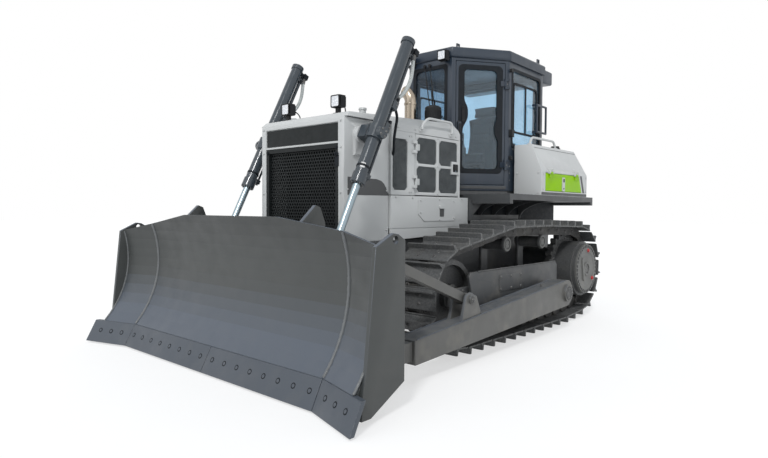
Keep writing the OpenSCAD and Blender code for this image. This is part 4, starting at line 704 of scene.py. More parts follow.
def make_seat():
    bm = bmesh.new()
    crowned(bm, (0.285, 0.768), (-0.248, 0.248), (1.862, 1.966))
    cushion = swollen("seat_cushion", bm, 0.012)
    padded_piece(cushion, channels(0.155, 0, (AXLE_X + 0.42, AXLE_X + 0.57)))
    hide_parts("seat")
    bm = bmesh.new()
    crowned(bm, (-0.052, 0.052), (-0.225, 0.225), (0.0, 0.50))
    lean = Matrix.Translation(at(0.315, 0, 1.985)) @ Matrix.Rotation(math.radians(-4.4), 4, "Y")
    for v in bm.verts:
        v.co = lean @ (v.co - Vector((AXLE_X, 0, 0)))
    back = swollen("seat_backrest", bm, 0.012)
    padded_piece(back, channels(0.14, 2, (2.12, 2.25, 2.38)))
    bm = bmesh.new()
    crowned(bm, (-0.044, 0.044), (-0.150, 0.150), (0.488, 0.610))
    for v in bm.verts:
        v.co = lean @ (v.co - Vector((AXLE_X, 0, 0)))
    padded_piece(swollen("seat_headrest", bm, 0.008), [])
    base = heap("seat_base", BLACK, bevel=0.004)
    for k in range(6):
        z = 1.600 + 0.042 * k
        plan_slab(base, at, rounded(0.364, 0.676, -0.156, 0.156, 0.03), z, z + 0.030)
        plan_slab(base, at, rounded(0.380, 0.660, -0.140, 0.140, 0.03), z + 0.028, z + 0.044)
    plan_slab(base, at, rounded(0.340, 0.700, -0.170, 0.170, 0.02), 1.549, 1.602)
    plan_slab(base, at, rounded(0.275, 0.775, -0.240, 0.240, 0.03), 1.846, 1.866)
    for y in (-0.05, 0.05):
        rod(base, lean @ Vector((0, y, 0.48)), lean @ Vector((0, y, 0.56)), 0.008, 12)
    for s in SIDES.values():
        plan_slab(base, at, rounded(0.275, 0.640, s * 0.345 - 0.040, s * 0.345 + 0.040, 0.03), 2.109, 2.150)
        for k in range(5):
            z = 2.108 + 0.012 * k
            rod(base, at(0.746, s * 0.360, z), at(0.746, s * 0.360, z + 0.010), 0.044 - 0.005 * k, 20)
        rod(base, at(0.746, s * 0.360, 2.225), at(0.740, s * 0.360, 2.275), 0.024, 16, 0.019)
    dash = heap("dash_screen", SCREEN, bevel=0.002)
    cuboid(dash, at, (1.080, 1.087), (-0.14, 0.14), (2.00, 2.14))


make_seat()

# Finishes of the plain solids, and the shells with rounded edges that stand for some of them

PLAIN = {
    "main_frame": DARK, "engine_block": CAST, "drawbar": DARK, "track_frames": DARK, "track_left": SHOE,
    "track_right": SHOE, "final_drives": CAST, "idlers": CAST, "rollers": CAST, "radiator_shell": LIGHT,
    "radiator_core": BLACK, "radiator_grille": GUARD, "hood_top": LIGHT, "hood_fronts": LIGHT,
    "lower_panels": LIGHT, "exhaust": STACK, "precleaner": BLACK, "work_lamps": BLACK, "handrails": LIGHT,
    "platform": DARK, "tank_boxes": LIGHT, "fuel_tank": LIGHT, "cab_frame": CAB,
    "cab_roof": CAB, "cab_glass": GLASS, "seat": CLOTH, "controls": BLACK, "moldboard": BLADE,
    "blade_frame": BLADE, "cutting_edges": EDGE, "end_plates": BLADE, "push_arms": ARM, "braces": ARM,
    "lift_barrel_left": SLATE, "lift_barrel_right": SLATE, "lift_rod_left": CHROME_SKY_TINT, "lift_rod_right": CHROME_SKY_TINT,
    "cab_door_left": CAB, "cab_door_right": CAB, "door_glass_left": GLASS, "door_glass_right": GLASS,
    "hood_door_left": LIGHT, "hood_door_right": LIGHT, "tank_lid_left": LIME, "tank_lid_right": LIME,
}
for node, material in PLAIN.items():
    finish_node(node, material)

ROUNDED = {
    "hood_top": 0.014, "radiator_shell": 0.012, "tank_boxes": 0.014, "fuel_tank": 0.016, "cab_roof": 0.024,
    "cab_frame": 0.008, "platform": 0.005, "push_arms": 0.012, "braces": 0.008, "track_frames": 0.008,
    "end_plates": 0.004, "cutting_edges": 0.003, "main_frame": 0.006, "engine_block": 0.02,
    "hood_fronts": 0.003, "lower_panels": 0.003, "hood_door_left": 0.003, "hood_door_right": 0.003,
    "tank_lid_left": 0.003, "tank_lid_right": 0.003, "drawbar": 0.006, "blade_frame": 0.004,
    "cab_door_left": 0.006, "cab_door_right": 0.006, "controls": 0.012,
}
for node, width in ROUNDED.items():
    soften(node, width, PLAIN[node])

# Tracks: the same belt round the wheels as in the part's source, with every shoe, link, pin and bolt

TRACK_Y = 0.940
SHOE_COUNT = 38
SHOE_W, SHOE_T, SHOE_GAP, BAR_H = 0.510, 0.014, 0.007, 0.060
PIN_H, RAIL_H, RAIL_SPAN = 0.047, 0.048, 0.170
GROUND_PIN = BAR_H + SHOE_T + PIN_H
ROLLER_Z = 0.2643
SPROCKET_Z, SPROCKET_R = 0.596, 0.441
IDLER_X, IDLER_R = 2.500, 0.390
IDLER_Z = GROUND_PIN + IDLER_R
CARRIER_X, CARRIER_Z, CARRIER_R = (0.840, 1.600), 0.942, 0.120
WHEELS = [
    (0.430, ROLLER_Z, ROLLER_Z - GROUND_PIN),
    (IDLER_X, IDLER_Z, IDLER_R),
    (CARRIER_X[1], CARRIER_Z, CARRIER_R),
    (CARRIER_X[0], CARRIER_Z, CARRIER_R),
    (0.0, SPROCKET_Z, SPROCKET_R),
]


def track_pins():
    """Where the track pins lie, as (x, z), evenly spaced along the belt."""
    count = len(WHEELS)
    normals = []
    for i, (x0, z0, r0) in enumerate(WHEELS):
        x1, z1, r1 = WHEELS[(i + 1) % count]
        reach = math.hypot(x1 - x0, z1 - z0)
        normals.append(math.atan2(z1 - z0, x1 - x0) - math.pi / 2 + math.asin((r0 - r1) / reach))
    stretches = []
    for i, (x0, z0, r0) in enumerate(WHEELS):
        x1, z1, r1 = WHEELS[(i + 1) % count]
        turn = (normals[i] - normals[i - 1]) % (2 * math.pi)
        line = math.sqrt((x1 - x0) ** 2 + (z1 - z0) ** 2 - (r0 - r1) ** 2)
        stretches.append((turn * r0, line))
    total = sum(a + b for a, b in stretches)
    pins = []
    for k in range(SHOE_COUNT):
        s = (k * total / SHOE_COUNT + stretches[0][0]) % total
        for i, (arc, line) in enumerate(stretches):
            x, z, r = WHEELS[i]
            if s <= arc:
                a = normals[i - 1] + s / r
                pins.append(Vector((x + r * math.cos(a), z + r * math.sin(a))))
                break
            s -= arc
            if s <= line:
                c, d = math.cos(normals[i]), math.sin(normals[i])
                pins.append(Vector((x + r * c - s * d, z + r * d + s * c)))
                break
            s -= line
    return pins, total / SHOE_COUNT


def make_track(side):
    pins, pitch = track_pins()
    y_mid = SIDES[side] * TRACK_Y
    half = (pitch - SHOE_GAP) / 2
    out = PIN_H + SHOE_T
    bar = half - 0.034
    section = [
        (-half, PIN_H), (half - 0.010, PIN_H), (half, PIN_H + 0.003), (half, out), (bar + 0.016, out),
        (bar + 0.011, out + 0.010), (bar + 0.008, out + BAR_H - 0.003), (bar + 0.005, out + BAR_H),
        (bar - 0.005, out + BAR_H), (bar - 0.008, out + BAR_H - 0.003), (bar - 0.013, out + 0.012),
        (bar - 0.022, out), (-half + 0.012, out), (-half + 0.004, out - 0.004), (-half, out - 0.010),
    ]
    boss = 0.043
    link = []
    for end, angles in ((1, (-90, -55, -20, 15, 50, 80)), (-1, (100, 130, 165, 200, 235, 270))):
        for a in angles:
            u = end * pitch / 2 + boss * math.cos(math.radians(a))
            n = -boss * math.sin(math.radians(a))
            link.append((u, n))
    link = [(u, max(-RAIL_H, min(n, PIN_H))) for u, n in link]
    link[5:7] = [(pitch * 0.47, -RAIL_H), (-pitch * 0.47, -RAIL_H)]
    link += [(-pitch * 0.28, boss), (-pitch * 0.24, PIN_H), (pitch * 0.24, PIN_H), (pitch * 0.28, boss)]
    edge = SHOE_W / 2
    stations = ((-edge, 0.95), (0.016 - edge, 1), (edge - 0.016, 1), (edge, 0.95))
    shoes, links, heads = bmesh.new(), bmesh.new(), bmesh.new()
    for k, a in enumerate(pins):
        b = pins[(k + 1) % SHOE_COUNT]
        along = (b - a).normalized()
        out_dir = Vector((along.y, -along.x))
        middle = (a + b) / 2

        def local(u, n, y):
            p = middle + u * along + n * out_dir
            return at(p.x, y_mid + y, p.y)

        lean = RNG.uniform(-0.0015, 0.0015)
        rings = []
        for y, pull in stations:
            row = []
            for u, n in section:
                n_in = n if pull == 1 or n - out < 0.02 else n - 0.003
                row.append(shoes.verts.new(local(u * pull if abs(u) > 0.085 else u, n_in + lean, y)))
            rings.append(row)
        shoes.faces.new(rings[0])
        shoes.faces.new(rings[-1][::-1])
        for low, high in zip(rings, rings[1:]):
            for i in range(len(section)):
                j = (i + 1) % len(section)
                shoes.faces.new((low[j], low[i], high[i], high[j]))
        for rail in (-1, 1):
            offset = [rail * (RAIL_SPAN / 2 + (0.011 if u > 0 else -0.011)) for u, n in link]
            slab(links, [local(u, n, y - 0.019) for (u, n), y in zip(link, offset)],
                 [local(u, n, y + 0.019) for (u, n), y in zip(link, offset)])
            for u in (-0.042, 0.030):
                outwards = local(u, out + 1, 0) - local(u, out, 0)
                bolt(heads, local(u, out, rail * RAIL_SPAN / 2), outwards, 0.015, 0.014)
        rod(links, local(-pitch / 2, 0, -0.118), local(-pitch / 2, 0, 0.118), 0.021, 14)
        rod(links, local(-pitch / 2, 0, -0.066), local(-pitch / 2, 0, 0.066), 0.033, 16)
    plates = new_piece("track_shoes_" + side, shoes, SHOE, "chassis", 30, 0.0015)
    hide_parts("track_" + side)
    new_piece("track_links_" + side, links, LINK, "chassis", 40)
    new_piece("shoe_bolts_" + side, heads, BOLT, "chassis", 30)


for side in SIDES:
    make_track(side)

# Undercarriage: hub faces, roller caps, bolts on the guards

HUB_Y, HUB_R, GUARD_Y = 1.240, 0.288, 1.150
ROLLER_FIRST, ROLLER_STEP, ROLLER_COUNT = 0.460, 0.275, 7


def disc_points(x, z, r, count, first=0.0):
    turns = (math.radians(first + 360 * k / count) for k in range(count))
    return [(x + r * math.cos(t), z + r * math.sin(t)) for t in turns]


def make_undercarriage(side):
    q = mirrored(side)
    face = heap("hub_faces", HUB, bevel=0.003)
    side_ring(face, q, disc_points(0, SPROCKET_Z, HUB_R, 72), disc_points(0, SPROCKET_Z, 0.20, 72),
              HUB_Y - 0.022, HUB_Y + 0.004)
    side_ring(face, q, disc_points(0, SPROCKET_Z, 0.082, 40), disc_points(0, SPROCKET_Z, 0.058, 40),
              HUB_Y - 0.002, HUB_Y + 0.012)
    rod(face, q(0, HUB_Y - 0.010, SPROCKET_Z), q(0, HUB_Y + 0.0015, SPROCKET_Z), 0.202, 60)
    kidney = [(0.146, 0.135), (0.128, 0.140), (0.114, 0.120), (0.072, -0.100), (0.080, -0.135),
              (0.098, -0.138), (0.110, -0.118), (0.152, 0.105)]
    side_slab(face, q, [(x, z + SPROCKET_Z) for x, z in kidney], HUB_Y - 0.002, HUB_Y + 0.016)
    heads = heap("hub_bolts", BOLT)
    # Black discs under the bolt heads: painted shade in their recesses.
    sink_shade = heap("hub_sink_shade", RUBBER)
    for x, z in disc_points(0, SPROCKET_Z, 0.266, 36):
        rod(sink_shade, q(x, HUB_Y - 0.004, z), q(x, HUB_Y + 0.0048, z), 0.0165, 16)
        rod(heads, q(x, HUB_Y + 0.004, z), q(x, HUB_Y + 0.011, z), 0.0095, 6)
    side_bolts(heads, q, HUB_Y, disc_points(0, SPROCKET_Z, 0.043, 6), 0.009, 0.010)
    plugs = [(-0.03, SPROCKET_Z + 0.215), (-0.16, SPROCKET_Z - 0.12)]
    side_bolts(heap("hub_plugs", RED), q, HUB_Y + 0.002, plugs, 0.018, 0.016)
    rim = disc_points(0, SPROCKET_Z, 0.352, 27, 6.7)
    side_bolts(heap("sprocket_bolts", BOLT), q, TRACK_Y + 0.036, rim, 0.012, 0.012)
    caps = heap("roller_caps", CAST, bevel=0.003)
    for x in CARRIER_X:
        z = CARRIER_Z
        rod(caps, q(x, 1.062, z), q(x, 1.084, z), 0.080, 36, 0.076)
        side_ring(face, q, disc_points(x, z, 0.070, 36), disc_points(x, z, 0.052, 36), 1.083, 1.092)
        rod(face, q(x, 1.083, z), q(x, 1.090, z), 0.040, 28)
        side_bolts(heads, q, 1.089, disc_points(x, z, 0.026, 4), 0.006, 0.006)
    for k in range(ROLLER_COUNT):
        x = ROLLER_FIRST + k * ROLLER_STEP
        side_bolts(heads, q, GUARD_Y, [(x - 0.05, 0.262), (x + 0.05, 0.262)], 0.012, 0.012)
        outer, inner = disc_points(x, ROLLER_Z, 0.112, 32), disc_points(x, ROLLER_Z, 0.088, 32)
        for y in (0.850, 1.028):
            side_ring(caps, q, outer, inner, y - 0.012, y + 0.012)
    rod(caps, q(IDLER_X, 1.098, IDLER_Z), q(IDLER_X, 1.118, IDLER_Z), 0.070, 32, 0.062)
    side_bolts(heads, q, 1.117, disc_points(IDLER_X, IDLER_Z, 0.045, 4), 0.009, 0.009)
    side_bolts(heads, q, 1.097, product((2.22, 2.40), (IDLER_Z - 0.05, IDLER_Z + 0.05)), 0.012, 0.012)
    plates = heap("guard_plates", DARK, bevel=0.003)
    side_slab(plates, q, rounded(1.42, 1.86, 0.50, 0.66, 0.02), GUARD_Y - 0.001, GUARD_Y + 0.008)
    side_bolts(heads, q, GUARD_Y + 0.008, product((1.445, 1.64, 1.835), (0.523, 0.637)), 0.010, 0.009)
    welds = heap("guard_welds", DARK)
    tube(welds, [q(0.66 + 0.02 * k, GUARD_Y, 0.722) for k in range(80)], 0.007, 8, 0.25)
    tube(welds, [q(2.318 - 0.006 * k / 10, GUARD_Y, 0.250 + 0.0255 * k) for k in range(11)], 0.008, 8, 0.25)


for side in SIDES:
    make_undercarriage(side)

# Blade: the face as in the part's source, with welds and edge bolts

FACE_R, FACE_X, FACE_Z, FOLD_Y = 0.895, 4.022, 0.802, 1.288
WING_SLOPE = math.tan(math.radians(17.3))
EDGE_SLOPE = math.tan(math.radians(27.0))
FACE_LOW, EDGE_STEP, BLADE_END = 0.200, 0.008, 1.670
EDGE_BOLT_Z = 0.118
EDGE_BOLT_Y = [0.085 + 0.161 * k for k in range(8)] + [1.395, 1.525, 1.655]


def face_at(y, z):
    """How far forward the blade's face stands."""
    wing = max(0.0, abs(y) - FOLD_Y) * WING_SLOPE
    return FACE_X + FACE_R - math.sqrt(FACE_R ** 2 - (z - FACE_Z) ** 2) + wing


def make_blade():
    # The blade's weld beads take the lighter weld paint, a painted highlight along the folds.
    welds = heap("blade_welds", WELD_HIGHLIGHT, "blade")
    filler = heap("corner_fillers", BLADE, "blade")
    heads = heap("edge_bolts", EDGE, "blade")
    # Black discs round the edge bolts: painted shade in their countersinks.
    hole_shade = heap("edge_sink_shade", RUBBER, "blade")
    for side, s in SIDES.items():
        q = mirrored(side)
        for y, low, high, r in ((FOLD_Y, 0.205, 1.132, 0.013), (BLADE_END, 0.205, 1.055, 0.009)):
            steps = 90
            heights = [low + (high - low) * k / steps for k in range(steps + 1)]
            tube(welds, [q(face_at(y, z) + 0.001, y, z) for z in heights], r, 8, 0.14)
        front = face_at(BLADE_END - 0.03, FACE_LOW)
        back = front - 0.16
        outline = [(back, 0.100), (front - 0.035, 0.100), (front - 0.030, 0.200), (front - 0.115, 0.330),
                   (back, 0.330)]
        side_slab(filler, q, outline, 1.585, BLADE_END - 0.0005)
        for y in EDGE_BOLT_Y:
            x = face_at(y, FACE_LOW) + EDGE_STEP + (FACE_LOW - EDGE_BOLT_Z) * EDGE_SLOPE
            lean = s * WING_SLOPE if y > FOLD_Y else 0.0
            normal = Vector((1, -lean, EDGE_SLOPE)).normalized()
            p = q(x, y, EDGE_BOLT_Z)
            rod(hole_shade, p - normal * 0.004, p + normal * 0.0008, 0.021, 20)
            rod(heads, p - normal * 0.002, p + normal * 0.0030, 0.0155, 16, 0.012)


make_blade()

# Push arms: pin caps, welds, brace pins

ARM_PIN_X, ARM_PIN_Z = 0.930, 0.420
ARM_SLOPE = (0.335 - 0.555) / (3.485 - ARM_PIN_X)


def make_arms(side):
    q = mirrored(side)
    caps = heap("arm_caps", CAST, "blade", bevel=0.003)
    heads = heap("arm_bolts", BOLT, "blade")
    rod(caps, q(ARM_PIN_X, 1.440, ARM_PIN_Z), q(ARM_PIN_X, 1.452, ARM_PIN_Z), 0.078, 36, 0.070)
    side_bolts(heads, q, 1.451, disc_points(ARM_PIN_X, ARM_PIN_Z, 0.052, 6), 0.010, 0.010)
    welds = heap("arm_welds", BLADE, "blade")
    run = [1.0 + 0.0249 * k for k in range(100)]
    for y in (1.252, 1.418):
        tube(welds, [q(x, y, 0.556 + ARM_SLOPE * (x - ARM_PIN_X)) for x in run], 0.006, 8, 0.2)
    for y in (1.275, 1.395):
        tube(welds, [q(2.57 + 0.0072 * k, y, 0.4135 - 0.00062 * k) for k in range(41)], 0.008, 8, 0.25)
    # Black discs on the lugs: painted shade standing for the holes.
    hole_shade = heap("lug_hole_shade", RUBBER, "blade")
    for x, z in ((2.665, 0.478), (2.815, 0.470)):
        rod(hole_shade, q(x, 1.4005, z), q(x, 1.4065, z), 0.021, 24)
    rod(caps, q(2.741, 1.405, 0.550), q(2.741, 1.428, 0.550), 0.030, 28)
    side_bolts(heads, q, 1.427, [(2.741, 0.550)], 0.014, 0.014)
    rod(heads, q(1.35, 1.335, 0.50), q(1.35, 1.335, 0.545), 0.008, 10)


for side in SIDES:
    make_arms(side)

# Radiator front: perforated plate, its frame and latch, the bare name panel

HOLE_STEP, HOLE_R = 0.0325, 0.0125
OPENING_Y, OPENING_LOW, OPENING_TOP = 0.489, 1.090, 1.835


def make_grille():
    plate = bmesh.new()
    margin = 0.036
    cell = HOLE_STEP / math.sqrt(3)
    rows = int((OPENING_TOP - OPENING_LOW - margin) / (1.5 * cell))
    columns = int((2 * OPENING_Y - margin) / HOLE_STEP)
    middle_z = (OPENING_TOP + OPENING_LOW) / 2
    plate_x = (3.3365, 3.3255)
    ways = [(math.cos(math.radians(30 * k)), math.sin(math.radians(30 * k))) for k in range(12)]
    reach = [cell if k % 2 else cell * math.cos(math.radians(30)) for k in range(12)]
    seen = {}

    def corner(y, z, x):
        key = (round(4 * y / HOLE_STEP), round(4 * (z - middle_z) / cell), x)
        if key not in seen:
            seen[key] = plate.verts.new(at(x, y, z))
        return seen[key]

    for r in range(rows):
        for c in range(columns - r % 2):
            y = (c + (r % 2) / 2 - (columns - 1) / 2) * HOLE_STEP
            z = middle_z + (r - rows // 2) * 1.5 * cell
            rim = [[corner(y + d * a, z + d * b, x) for (a, b), d in zip(ways, reach)] for x in plate_x]
            hole = [[plate.verts.new(at(x, y + HOLE_R * a, z + HOLE_R * b)) for a, b in ways]
                    for x in plate_x]
            for k in range(12):
                j = (k + 1) % 12
                plate.faces.new((rim[0][k], rim[0][j], hole[0][j], hole[0][k]))
                plate.faces.new((hole[0][k], hole[0][j], hole[1][j], hole[1][k]))
                plate.faces.new((hole[1][k], hole[1][j], rim[1][j], rim[1][k]))
    bmesh.ops.bridge_loops(plate, edges=[e for e in plate.edges if e.is_boundary])
    piece = new_piece("grille_plate", plate, GUARD, "chassis", 30)
    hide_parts("radiator_grille")
    outer = rounded(0.001 - OPENING_Y, OPENING_Y - 0.001, OPENING_LOW + 0.001, OPENING_TOP - 0.001, 0.006)
    inner = rounded(-0.452, 0.452, OPENING_LOW + 0.034, OPENING_TOP - 0.040, 0.012)
    front_ring(heap("grille_frame", GUARD, bevel=0.003), at, outer, inner, 3.322, 3.360)
    knobs = heap("grille_knobs", RUBBER, bevel=0.001)
    end_bolts(knobs, at, 3.360, product((-0.466, 0.466), (1.800, 1.118)), 0.014, 0.010)
    cuboid(knobs, at, (3.358, 3.374), (0.458, 0.500), (1.640, 1.735))
    rod(knobs, at(3.372, 0.484, 1.745), at(3.390, 0.484, 1.745), 0.018, 18)
    end_bolts(knobs, at, 3.390, [(0.484, 1.745)], 0.009, 0.008)
    posts = product((-0.523, 0.523), (1.14, 1.42, 1.80, 2.02))
    end_bolts(heap("shell_bolts", LIGHT), at, 3.3651, posts, 0.008, 0.007)
    panel = heap("front_panel", GUARD, bevel=0.002)
    front_slab(panel, at, rounded(-0.484, 0.484, 1.856, 2.007, 0.008), 3.3505, 3.3560)


make_grille()

# Hood: mesh windows, latches, covers, lamps, handrails, stack and pre-cleaner

HOOD_Y, SHELL_Y = 0.580, 0.557
DOOR_WINDOWS = [(*along, *up) for along in ((1.751, 2.0615), (2.108, 2.4185))
                for up in ((1.4494, 1.6949), (1.7214, 1.9669))]
FRONT_WINDOW = (2.559, 2.770, 1.461, 1.930)
RAIL_R, RAIL_BEND = 0.0130, 0.05


def mesh_window(side, body, x0, x1, z0, z1):
    q = mirrored(side)
    wires = heap("window_mesh_" + body, MESH, body, smooth=0)
    pitch, wide = 0.0105, 0.0026
    count = int((x1 - x0) / pitch)
    for k in range(1, count):
        x = x0 + (x1 - x0) * k / count
        cuboid(wires, q, (x - wide / 2, x + wide / 2), (HOOD_Y - 0.0085, HOOD_Y - 0.0060), (z0, z1))
    count = int((z1 - z0) / pitch)
    for k in range(1, count):
        z = z0 + (z1 - z0) * k / count
        cuboid(wires, q, (x0, x1), (HOOD_Y - 0.0062, HOOD_Y - 0.0040), (z - wide / 2, z + wide / 2))
    # A black sheet behind the wires: painted shade that stands for the dark space behind the window.
    shade_sheet = heap("window_shade_sheet_" + body, RUBBER, body)
    cuboid(shade_sheet, q, (x0 + 0.0005, x1 - 0.0005), (HOOD_Y - 0.0138, HOOD_Y - 0.0120),
           (z0 + 0.0005, z1 - 0.0005))
    corners = heap("window_frames_" + body, LIGHT, body)
    cut = 0.028
    for x, dx in ((x0, cut), (x1, -cut)):
        for z, dz in ((z0, cut), (z1, -cut)):
            side_slab(corners, q, [(x, z), (x + dx, z), (x, z + dz)], HOOD_Y - 0.0139, HOOD_Y - 0.0005)


def hinge_bolts(bm, q, x, y, z, step):
    side_bolts(bm, q, y, [(x, z + d) for d in (-step, 0, step)], 0.006, 0.006)


def make_hood(side):
    q = mirrored(side)
    door = "engine_door_" + side
    mesh_window(side, "chassis", *FRONT_WINDOW)
    for window in DOOR_WINDOWS:
        mesh_window(side, door, *window)
    heads = heap("hood_bolts", LIGHT)
    door_heads = heap("door_bolts_" + side, LIGHT, door)
    side_bolts(heads, q, HOOD_Y, product((2.500, 2.530), (1.445, 1.965)), 0.007, 0.006)
    side_bolts(heads, q, HOOD_Y, [(x, 1.395) for x in (2.72, 2.48, 1.66)], 0.008, 0.007)
    side_bolts(heads, q, HOOD_Y + 0.0005, [(x, 2.030) for x in (2.70, 2.45, 1.78)], 0.007, 0.006)
    side_bolts(heads, q, SHELL_Y, product((2.83, 3.32), (1.10, 1.45)), 0.008, 0.007)
    side_bolts(door_heads, q, HOOD_Y, [(2.0865, z) for z in (1.435, 1.708, 1.982)], 0.006, 0.006)
    grip = heap("door_grips_" + side, BLACK, door, bevel=0.002)
    side_slab(grip, q, rounded(1.752, 1.842, 1.668, 1.748, 0.012), HOOD_Y + 0.0095, HOOD_Y + 0.0115)
    side_slab(grip, q, rounded(1.764, 1.830, 1.690, 1.742, 0.008), HOOD_Y + 0.0110, HOOD_Y + 0.0185)
    # The locks take the chrome with its painted sky reflection.
    locks = heap("door_locks_" + side, CHROME_SKY_TINT, door)
    rod(locks, q(1.797, HOOD_Y + 0.010, 1.678), q(1.797, HOOD_Y + 0.016, 1.678), 0.006, 16)
    cover = heap("panel_covers", LIGHT, bevel=0.003)
    outline = [(1.80, 1.170), (2.31, 1.170), (2.40, 1.240), (2.40, 1.375), (2.375, 1.400), (1.82, 1.400),
               (1.78, 1.360), (1.78, 1.190)]
    side_slab(cover, q, outline, HOOD_Y - 0.001, HOOD_Y + 0.006)
    places = ((1.81, 1.20), (1.81, 1.37), (2.06, 1.385), (2.36, 1.37), (2.36, 1.255), (2.06, 1.185))
    side_bolts(heads, q, HOOD_Y + 0.006, places, 0.008, 0.007)
    skirt = heap("panel_skirts", LIGHT)
    side_slab(skirt, q, [(1.66, 1.045), (2.789, 1.002), (2.789, 1.112), (1.62, 1.112)], 0.560, 0.576)
    flap = heap("panel_flaps", DARK, bevel=0.002)
    side_slab(flap, q, rounded(1.985, 2.055, 1.215, 1.300, 0.010), HOOD_Y + 0.005, HOOD_Y + 0.009)
    side_slab(cover, q, rounded(1.990, 2.070, 1.292, 1.330, 0.012), HOOD_Y + 0.005, HOOD_Y + 0.024)
    outline = [(3.319, 1.402), (3.319, 1.554), (2.955, 1.548), (2.900, 1.536), (2.862, 1.512), (2.834, 1.478),
               (2.808, 1.432), (2.797, 1.406)]
    side_slab(flap, q, outline, SHELL_Y - 0.0010, SHELL_Y + 0.0025)
    front = heap("hood_fittings", LIGHT, bevel=0.002)
    rod(front, q(3.05, 0.47, 2.110), q(3.05, 0.47, 2.150), 0.030, 28)
    rod(front, q(3.05, 0.47, 2.149), q(3.05, 0.47, 2.168), 0.038, 14, 0.034)


def make_rails(side):
    q = mirrored(side)
    rails = bmesh.new()
    rear, front, y, low, high = 1.880, 2.370, 0.603, 2.045, 2.157
    corners = [(front, low), (front, 2.085), (2.285, high), (rear, high), (rear, low)]
    tube(rails, bent([q(x, y, z) for x, z in corners], RAIL_BEND), RAIL_R, 16)
    for x in (rear, front):
        side_slab(rails, q, rounded(x - 0.020, x + 0.020, 2.014, 2.064, 0.008), HOOD_Y, 0.592)
        rod(rails, q(x, 0.588, 2.052), q(x, y, 2.052), 0.0125, 16)
        feet = [(x - 0.010, 2.024), (x + 0.010, 2.024)]
        side_bolts(heap("hood_bolts", LIGHT), q, 0.592, feet, 0.005, 0.005)
    rear, front, y, low, high = 0.146, 0.786, 0.891, 2.024, 2.105
    corners = [(rear, low), (0.1885, high), (0.7435, high), (front, low)]
    tube(rails, bent([q(x, y, z) for x, z in corners], RAIL_BEND), RAIL_R, 16)
    for x in (rear, front):
        rod(rails, q(x, y, 2.020), q(x, y, 2.030), 0.026, 24)
    piece = new_piece("handrail_tubes_" + side, rails, LIGHT, "chassis", 40)
    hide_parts("handrails")


def make_lamps():
    lens = heap("lamp_lenses", LENS, bevel=0.002)
    rims = heap("lamp_rims", BLACK, bevel=0.002)
    leads = heap("lamp_leads", RUBBER)
    for s in SIDES.values():
        for x, y, z in ((3.253, s * 0.338, 2.215), (1.565, s * 0.233, 2.967)):
            box = rounded(y - 0.045, y + 0.045, z - 0.045, z + 0.045, 0.010)
            front_slab(lens, at, box, x + 0.0005, x + 0.006)
            front_ring(rims, at, rounded(y - 0.053, y + 0.053, z - 0.053, z + 0.053, 0.012),
                       rounded(y - 0.044, y + 0.044, z - 0.044, z + 0.044, 0.010), x - 0.012, x + 0.009)
            for k in range(6):
                a = y - 0.045 + 0.018 * k
                cuboid(rims, at, (x - 0.084, x - 0.069), (a - 0.002, a + 0.002), (z - 0.044, z + 0.044))
        top = 2.1026
        cuboid(rims, at, (3.180, 3.256), (s * 0.338 - 0.030, s * 0.338 + 0.030), (top, top + 0.012))
        lead = ((3.170, 0.338, 2.205), (3.135, 0.325, 2.200), (3.105, 0.310, 2.165), (3.098, 0.305, 2.108))
        tube(leads, smooth_path([at(x, s * y, z) for x, y, z in lead]), 0.0055, 8)


def make_stack():
    steel = heap("stack_clamp", STACK, bevel=0.001)
    x, y = 1.880, 0.060
    turns = disc_points(x, y, 0.0705, 40)
    inner = disc_points(x, y, 0.0635, 40)
    for z in (2.225, 2.400):
        ring(steel, [at(a, b, z) for a, b in turns], [at(a, b, z) for a, b in inner],
             [at(a, b, z + 0.020) for a, b in turns], [at(a, b, z + 0.020) for a, b in inner])
        cuboid(steel, at, (x + 0.066, x + 0.088), (y - 0.012, y + 0.012), (z + 0.002, z + 0.018))
    flange = [(a, b, 2.1945) for a, b in disc_points(x, y, 0.076, 6)]
    bolts(heap("hood_bolts", LIGHT), at, flange, (0, 0, 1), 0.006, 0.007)
    fins = heap("cleaner_fins", BLACK)
    cx, cy = 1.760, 0.270
    for k in range(30):
        t = math.radians(12 * k)
        u, v = Vector((math.cos(t), math.sin(t), 0)), Vector((-math.sin(t), math.cos(t), 0)) * 0.0018
        section = ((0.0825, 2.240), (0.0895, 2.240), (0.0895, 2.335), (0.0825, 2.335))
        base = [at(cx, cy, z) + u * r for r, z in section]
        slab(fins, [p - v for p in base], [p + v for p in base])
    cap = heap("cleaner_cap", BLACK, smooth=50)
    z = 2.352
    profile = [(0.088, 0.0), (0.086, 0.012), (0.070, 0.026), (0.040, 0.036)]
    for (r0, h0), (r1, h1) in zip(profile, profile[1:]):
        rod(cap, at(cx, cy, z + h0 - 0.0005), at(cx, cy, z + h1), r0, 36, r1)


for side in SIDES:
    make_hood(side)
    make_rails(side)
make_lamps()
make_stack()

# Lift cylinders: glands, caps, fittings, hoses

LIFT_AT, LIFT_Y = (3.186, 1.910), 0.745
LIFT_UP = Vector((-0.4466, 0.0, 0.8947))
LIFT_BACK = Vector((-0.8947, 0.0, -0.4466))
BRAID_ROUTE = ((0.127, 0.850), (0.156, 0.770), (0.176, 0.690), (0.177, 0.600), (0.152, 0.505), (0.111, 0.423))
LIFT_ROUTE = ((2.762, 0.568, 1.770), (2.788, 0.606, 1.812), (2.833, 0.648, 1.900), (2.850, 0.680, 2.000),
              (2.862, 0.705, 2.085))


def hose(side, name, path, radius, material, body):
    """A hose between two fittings; without a body it is left on no body, with its mesh baked in place."""
    bm = bmesh.new()
    tube(bm, path, radius, 14)
    piece = new_piece(name + side, bm, material, body, 40)
    if not body:
        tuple(path[6])
        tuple(path[-1])
        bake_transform(piece)
    length = sum((b - a).length for a, b in zip(path, path[1:]))
    tuple(path[0])
    [tuple(p) for p in path]


